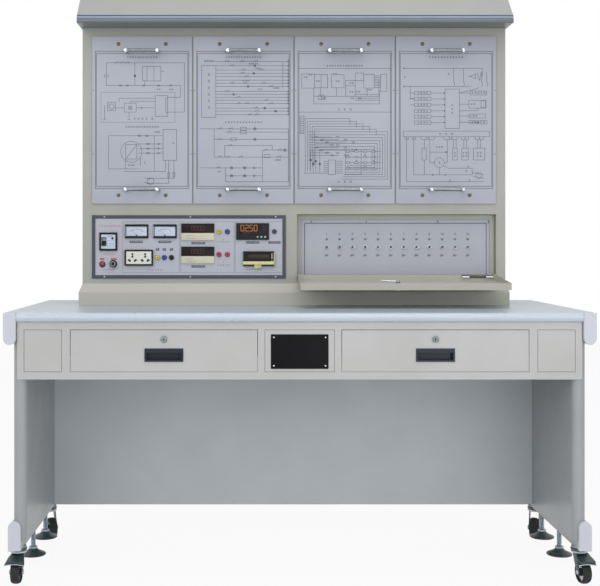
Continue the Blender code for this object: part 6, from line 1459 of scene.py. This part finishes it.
class Canopy:
    """The soft lip along the canopy's nose: indigo line, lavender bead of painted highlight and
    grey-green roll.
    """

    def build(self) -> None:
        """Sweeps the three strips along the nose."""
        low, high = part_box("canopy")
        front, bottom, top = low[1], low[2], low[2] + 0.018
        start, end = low[0] + 0.0005, high[0] - 0.0005
        skin = front - 0.0001
        slope = Mount((0.0, front, top), up=(0.0, 0.734, 0.680), out=(0.0, -0.680, 0.734))
        strip = plate(slope.at(0.0, 0.0044, 0.0001), (end - start, 0.0048), 0.0010, 0.0004,
                      0.0003)
        make_piece("canopy_indigo_line", [strip], INDIGO_TRIM, "bench")
        turn = np.linspace(0.15, np.pi - 0.5, 8)
        bead = [(skin - 0.0018 * np.sin(a), top - 0.0034 + 0.0034 * np.cos(a)) for a in turn]
        # The lavender bead is a painted highlight along the lip's upper roll.
        make_piece("canopy_painted_highlight_bead", [swept(
            [(skin, top - 0.0066)] + [(skin, top - 0.0002)] + bead, start, end)],
            LAVENDER_PAINTED_HIGHLIGHT, "bench")
        turn = np.linspace(0.3, np.pi / 2 + 0.75, 10)
        middle, half = bottom + 0.0050, 0.0062
        roll = [(skin - 0.0034 * np.sin(a), middle + half * np.cos(a)) for a in turn]
        make_piece("canopy_nose_roll", [swept(
            [(skin, middle + half)] + roll + [(skin - 0.0002, bottom - 0.0012),
                                               (front + 0.0120, bottom - 0.0010),
                                               (front + 0.0120, bottom - 0.0001),
                                               (skin, bottom - 0.0001)], start, end)],
            NOSE_RUBBER, "bench")


@dataclass(frozen=True)
class PedalSizes:
    """The hood over a brake pedal and its strip of painted highlight along the front edge, in
    metres.
    """

    neck_half: float = 0.0150
    lip_half: float = 0.0275
    reach: float = 0.0031
    back_inset: float = 0.0015
    lift: float = 0.0006
    floor_gap: float = 0.0020
    crown: float = 0.0030
    thick: float = 0.0013
    edge_radius: float = 0.0011
    edge_step: float = 0.0006
    side_room: float = 0.0004
    front_room: float = 0.0019


class RunningGear:
    """The visible hardware of casters and levelling feet."""

    def __init__(self, pedal: PedalSizes = PedalSizes()) -> None:
        """Reads the joints, whose places and axes give each axle, swivel and foot."""
        self.pedal = pedal
        self.axles = {name.removesuffix("_roll"): joint for name, joint in JOINTS.items()
                      if name.endswith("_roll")}
        self.swivels = {name.removesuffix("_swivel_turn"): joint["pos_m"]
                        for name, joint in JOINTS.items() if name.endswith("_swivel_turn")}
        self.feet = [name for name in frame["nodes"] if name.startswith("leveling_foot")]

    def build(self) -> None:
        """Makes the casters' trim and the levelling feet."""
        self.build_axles()
        self.build_heads()
        self.build_pedals()
        for name in self.feet:
            self.build_foot(name)

    def build_heads(self) -> None:
        """The bearing cup under each mount and the bright raceway between cup and fork."""
        for caster, place in self.swivels.items():
            axis = upright(place[0], place[1], 0.0)
            cup = [(0.0166, 0.0921), (0.0166, 0.0893), (0.0196, 0.0893), (0.0224, 0.0906),
                   (0.0226, 0.0919), (0.0222, 0.0921)]
            race = [(0.0105, 0.0879), (0.0212, 0.0879), (0.0238, 0.0884), (0.0240, 0.0889),
                    (0.0236, 0.0892), (0.0166, 0.0892), (0.0164, 0.0886), (0.0105, 0.0883)]
            make_piece(f"{caster}_bearing_cup", [turned(axis, cup, 36, True)],
                       CASTER_PAINT, "bench")
            throat = [(0.0095, 0.0791), (0.0218, 0.0791), (0.0228, 0.0800), (0.0228, 0.0836),
                      (0.0220, 0.0845), (0.0095, 0.0845)]
            make_piece(f"{caster}_raceway", [turned(axis, race, 36, True),
                                             turned(axis, throat, 36, True)], SATIN_STEEL,
                       f"{caster}_swivel")

    def build_pedals(self) -> None:
        """The flared hood over each brake pedal, with a bright steel strip along its front edge as
        a painted highlight.
        """
        # Neither the hood nor its highlight strip may pass the desk top's end or the front nose.
        pedal = self.pedal
        side_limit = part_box("desk_top")[1][0] - pedal.side_room
        front_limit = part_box("desk_front_nose")[0][1] + pedal.front_room
        for node in ("caster_brake_front_left", "caster_brake_front_right"):
            low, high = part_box(node)
            x = (low[0] + high[0]) / 2
            share = np.linspace(0.0, 1.0, 9)[:, None]
            half_width = min(pedal.lip_half, side_limit - abs(x))
            front = max(low[1] - pedal.reach, front_limit)
            flare = pedal.neck_half + (half_width - pedal.neck_half) * share ** 0.8
            across = np.linspace(-1.0, 1.0, 9)[None, :]
            back = pedal.back_inset
            y = high[1] - back + (front + back - high[1]) * share
            z = (high[2] + pedal.lift - (high[2] - low[2] - pedal.floor_gap) * share ** 1.3
                 - pedal.crown * across ** 2 * share)
            top = np.stack(np.broadcast_arrays(x + flare * across, y, z), axis=-1)
            under = top[:, ::-1] - np.array([0.0, 0.0, pedal.thick])
            body = node.replace("brake_", "", 1) + "_brake"
            make_piece(f"{node}_hood", [grid(np.concatenate([top, under], axis=1))],
                       CASTER_PAINT, body)
            # The bright strip along the front edge is a painted highlight.
            edge = top[-1] - np.array([0.0, pedal.edge_step, pedal.edge_step])
            make_piece(f"{node}_edge", [rod(edge, pedal.edge_radius, 10)], SATIN_STEEL, body)

    def build_foot(self, name: str) -> None:
        """One levelling foot: grooved stem, collar nut and a coned pad with a rolled rim."""
        low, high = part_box(name)
        axis = upright((low[0] + high[0]) / 2, (low[1] + high[1]) / 2, low[2])
        radius = (high[0] - low[0]) / 2
        height = high[2] - low[2]
        turns = np.arange(0.0262, height - 0.0006, 0.0010)
        depth = np.where(np.arange(len(turns)) % 2 == 0, 0.0070, 0.0064)
        stem = [(0.0064, 0.0255)] + list(zip(depth.tolist(), turns.tolist()))
        stem += [(0.0058, height), (0.0008, height)]
        nut = [(0.0074, 0.0180), (0.0122, 0.0180), (0.0126, 0.0186), (0.0126, 0.0242),
               (0.0118, 0.0250), (0.0074, 0.0250)]
        pad = [(0.0010, 0.0), (radius - 0.0012, 0.0), (radius, 0.0012), (radius, 0.0028),
               (radius - 0.0016, 0.0044), (radius * 0.72, 0.0082), (radius * 0.46, 0.0130),
               (0.0134, 0.0165), (0.0122, 0.0178), (0.0010, 0.0178)]
        for part, form, finish in (("stem", turned(axis, stem, 16), ZINC_PALE),
                                   ("nut", turned(axis, nut, 6, True), ZINC_PALE),
                                   ("pad", turned(axis, pad, 40), CASTER_PAINT)):
            made = make_piece(f"{name}_{part}", [form], finish, f"{name}_body")
            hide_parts(name)

    def build_axles(self) -> None:
        """Makes hub covers that roll with each wheel and hexagon nuts on each fork."""
        for caster, joint in self.axles.items():
            axis = np.array(joint["axis"], dtype=float)
            hubs, nuts = [], []
            for side in (-1, 1):
                out = axis * side
                up = np.array([0.0, 0.0, 1.0])
                spot = Mount(tuple(joint["pos_m"]), tuple(np.cross(up, out)), tuple(up),
                             tuple(out))
                hubs.append(turned(spot, [(0.0245, 0.0055), (0.0245, 0.0074), (0.0230, 0.0080),
                                          (0.0150, 0.0066), (0.0112, 0.0068), (0.0104, 0.0055)],
                                   28, True))
                nuts.append(turned(spot, [(0.0072, 0.0160), (0.0072, 0.0184), (0.0066, 0.0192),
                                          (0.0030, 0.0192)], 6))
            make_piece(f"{caster}_hub_covers", hubs, SATIN_STEEL, f"{caster}_roller")
            make_piece(f"{caster}_axle_nuts", nuts, ZINC_PALE, f"{caster}_swivel")


# Finishes of the carried-over nodes

# Where a node's first colour meets its second, from the node's lowest corner.
FRONT_CAP_DEPTH = 0.0132
PLINTH_RISE = 0.0660
UNDERSIDE_RISE = 0.0010


def dress_nodes() -> None:
    """Gives every CAD node that stays in view its own finish."""
    rail_low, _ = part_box("side_frame_left")
    front_cap = rail_low[1] + FRONT_CAP_DEPTH
    side = ZonedFinish("side_enamel_with_pale_caps", LEG_ENAMEL.colour, LEG_ENAMEL.drift,
                       0.38, relief_mm=0.010, axis=1, edge=front_cap, second="#D3D5DF")
    shell_low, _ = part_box("cabinet_shell")
    # The plinth below PLINTH_RISE takes the flap's lighter copy of the cabinet enamel: painted
    # light.
    shell = ZonedFinish("cabinet_enamel_with_painted_light_plinth", CABINET_ENAMEL.colour,
                        CABINET_ENAMEL.drift, 0.42, relief_mm=0.012, axis=2,
                        edge=shell_low[2] + PLINTH_RISE, second=FLAP_PLINTH_PAINTED_LIGHT_ENAMEL.colour)
    canopy_low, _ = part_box("canopy")
    # The canopy's underside is painted darker than its enamel: painted shade.
    canopy = ZonedFinish("canopy_enamel_with_painted_shade_underside", CANOPY_ENAMEL.colour,
                         CANOPY_ENAMEL.drift, 0.38, relief_mm=0.012, axis=2,
                         edge=canopy_low[2] + UNDERSIDE_RISE, second="#7C7E7E")
    finishes = {
        "desk_top": LAMINATE, "desk_front_nose": NOSE_PLASTIC, "side_frame_left": side,
        "side_frame_right": side, "apron": BENCH_ENAMEL, "modesty_panel": MODESTY_PAINTED_SHADE_ENAMEL,
        "drawer_left": BENCH_ENAMEL, "drawer_right": BENCH_ENAMEL,
        "drawer_pull_left": NAVY_PLASTIC, "drawer_pull_right": NAVY_PLASTIC,
        "drawer_lock_left": LOCK_NICKEL, "drawer_lock_right": LOCK_NICKEL,
        "cabinet_shell": shell, "cabinet_back": CABINET_ENAMEL,
        "canopy": canopy, "instrument_panel": BEZEL_PLASTIC,
        "breaker_body": BLACK_PLASTIC_AND_HOLE_SHADE, "breaker_lever": BLACK_PLASTIC_AND_HOLE_SHADE,
        "breaker_test_button": NAVY_PLASTIC, "fuse_cap": BLACK_PLASTIC_AND_HOLE_SHADE,
        "indicator_lamp": LAMP_RED, "power_socket": WHITE_PLASTIC,
        "controller": BLACK_PLASTIC_AND_HOLE_SHADE, "controller_key_1": GREEN_PLASTIC,
        "controller_key_2": TEAL_PLASTIC, "controller_key_3": TEAL_PLASTIC,
        "connector": BLACK_PLASTIC_AND_HOLE_SHADE, "flap": FLAP_PLINTH_PAINTED_LIGHT_ENAMEL, "flap_latch": CHROME,
    }
    for name, node in frame["nodes"].items():
        finish = finishes.get(name)
        if name.startswith("caster_wheel"):
            finish = TYRE
        elif name.startswith("caster"):
            finish = CASTER_PAINT
        elif name.startswith("leveling"):
            finish = ZINC_PALE
        # Toggle levers take the brass darkened as a painted dark reflection.
        elif name.startswith("toggle"):
            finish = BRASS_PAINTED_DARK_REFLECTION
        elif finish is None:
            finish = BOARD_PRINT
        for slot in node.material_slots:
            slot.material = finish.material()
        LOG.info("%s: %s", name, finish.name)


# Studio


@dataclass(frozen=True)
class StudioSizes:
    """Where the camera stands and how strong the lights are."""

    camera_x: float = -0.1357
    camera_y: float = -3.324
    camera_rise: float = 0.1845
    lens_mm: float = 66.27
    shift: tuple[float, float] = (0.0842, -0.0807)
    key_watts: float = 31.0
    fill_watts: float = 29.0
    top_watts: float = 22.0
    sky: float = 0.50
    white_share: float = 0.92


class Studio:
    """A white floor, soft lights and the camera of the photograph."""

    def __init__(self, sizes: StudioSizes = StudioSizes()):
        """Keeps the sizes."""
        self.sizes = sizes

    def build(self) -> None:
        """Makes the floor, the world, the lights and the camera."""
        bpy.context.scene.view_settings.view_transform = "Standard"
        self.build_floor()
        self.build_world()
        sizes = self.sizes
        self.area("key_light", (-1.9, -3.0, 2.5), (0.0, 0.0, 1.0), 2.2, sizes.key_watts)
        self.area("fill_light", (1.4, -3.4, 0.7), (0.0, 0.0, 0.7), 2.4, sizes.fill_watts)
        self.area("top_light", (0.2, -0.9, 3.3), (0.0, 0.0, 0.8), 2.0, sizes.top_watts)
        self.build_camera()

    def build_floor(self) -> None:
        """A pale floor that shows as plain white to the camera and stays diffuse to light."""
        u, v = rounded_rectangle(14.0, 14.0, 1.0)
        mount = upright(0.0, 0.0, -0.0005)
        form = grid(np.stack([mount.lift(u, v, np.full_like(u, -0.02)),
                              mount.lift(u, v, np.zeros_like(u))]))
        mesh = bpy.data.meshes.new("studio_floor")
        mesh.from_pydata(form.points.tolist(), [], form.faces)
        floor = link("studio_floor", mesh)
        made = bpy.data.materials.new("studio_white_paper")
        made.use_nodes = True
        tree = made.node_tree
        shader = tree.nodes["Principled BSDF"]
        shader.inputs["Base Color"].default_value = (0.80, 0.80, 0.80, 1.0)
        shader.inputs["Roughness"].default_value = 0.9
        white = add_node(tree, "Emission", inputs={"Color": (1, 1, 1, 1), "Strength": 1.0})
        share = add_node(tree, "Math", {"operation": "MULTIPLY"},
                         {0: self.seen(tree), 1: self.sizes.white_share})
        mixed = add_node(tree, "MixShader", inputs={
            0: share.outputs[0], 1: shader.outputs[0], 2: white.outputs[0]})
        tree.links.new(mixed.outputs[0], tree.nodes["Material Output"].inputs["Surface"])
        mesh.materials.append(made)

    @staticmethod
    def seen(tree: bpy.types.NodeTree) -> bpy.types.NodeSocket:
        """One where the camera looks at a surface straight, by a gloss or through glass."""
        path = add_node(tree, "LightPath")
        clear = add_node(tree, "Math", {"operation": "MAXIMUM"},
                         {0: path.outputs["Is Camera Ray"],
                          1: path.outputs["Is Transmission Ray"]})
        both = add_node(tree, "Math", {"operation": "MAXIMUM"},
                        {0: clear.outputs[0], 1: path.outputs["Is Glossy Ray"]})
        return both.outputs[0]

    def build_world(self) -> None:
        """A soft grey sky for light, and plain white where the camera looks at it."""
        world = bpy.data.worlds.new("studio_world")
        world.use_nodes = True
        bpy.context.scene.world = world
        tree = world.node_tree
        light = tree.nodes["Background"]
        light.inputs[0].default_value = (0.95, 0.97, 1.0, 1.0)
        light.inputs[1].default_value = self.sizes.sky
        white = add_node(tree, "Background", inputs={0: (1, 1, 1, 1), 1: 1.0})
        mixed = add_node(tree, "MixShader", inputs={
            0: self.seen(tree), 1: light.outputs[0], 2: white.outputs[0]})
        tree.links.new(mixed.outputs[0], tree.nodes["World Output"].inputs["Surface"])

    @staticmethod
    def area(name: str, place: Point, target: Point, size: float, watts: float) -> None:
        """A square soft light that faces a target."""
        light = bpy.data.lights.new(name, "AREA")
        light.size = size
        light.energy = watts
        item = link(name, light)
        item.location = place
        away = np.array(place) - np.array(target)
        flat = math.hypot(away[0], away[1])
        item.rotation_euler = (math.atan2(flat, away[2]), 0.0, math.atan2(away[0], -away[1]))

    def build_camera(self) -> None:
        """The photograph's camera: level, square to the front, framed by its shift."""
        sizes = self.sizes
        data = bpy.data.cameras.new("photo_camera")
        data.sensor_width = 36.0
        data.lens = sizes.lens_mm
        data.shift_x, data.shift_y = sizes.shift
        data.clip_end = 60.0
        camera = link("photo_camera", data)
        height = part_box("desk_top")[1][2] + sizes.camera_rise
        camera.location = (sizes.camera_x, sizes.camera_y, height)
        camera.rotation_euler = (math.pi / 2, 0.0, 0.0)
        bpy.context.scene.camera = camera


def main() -> None:
    """Builds every sub-assembly, then the studio."""
    logging.basicConfig(level=logging.INFO, format="%(message)s")
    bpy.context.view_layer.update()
    dress_nodes()
    for number, circuit in enumerate(Circuit, start=1):
        DiagramPanel(number, circuit).build()
    InstrumentPanel().build()
    SwitchBoard().build()
    Flap().build()
    Bench().build()
    Canopy().build()
    RunningGear().build()
    Studio().build()


if __name__ == "__main__":
    main()
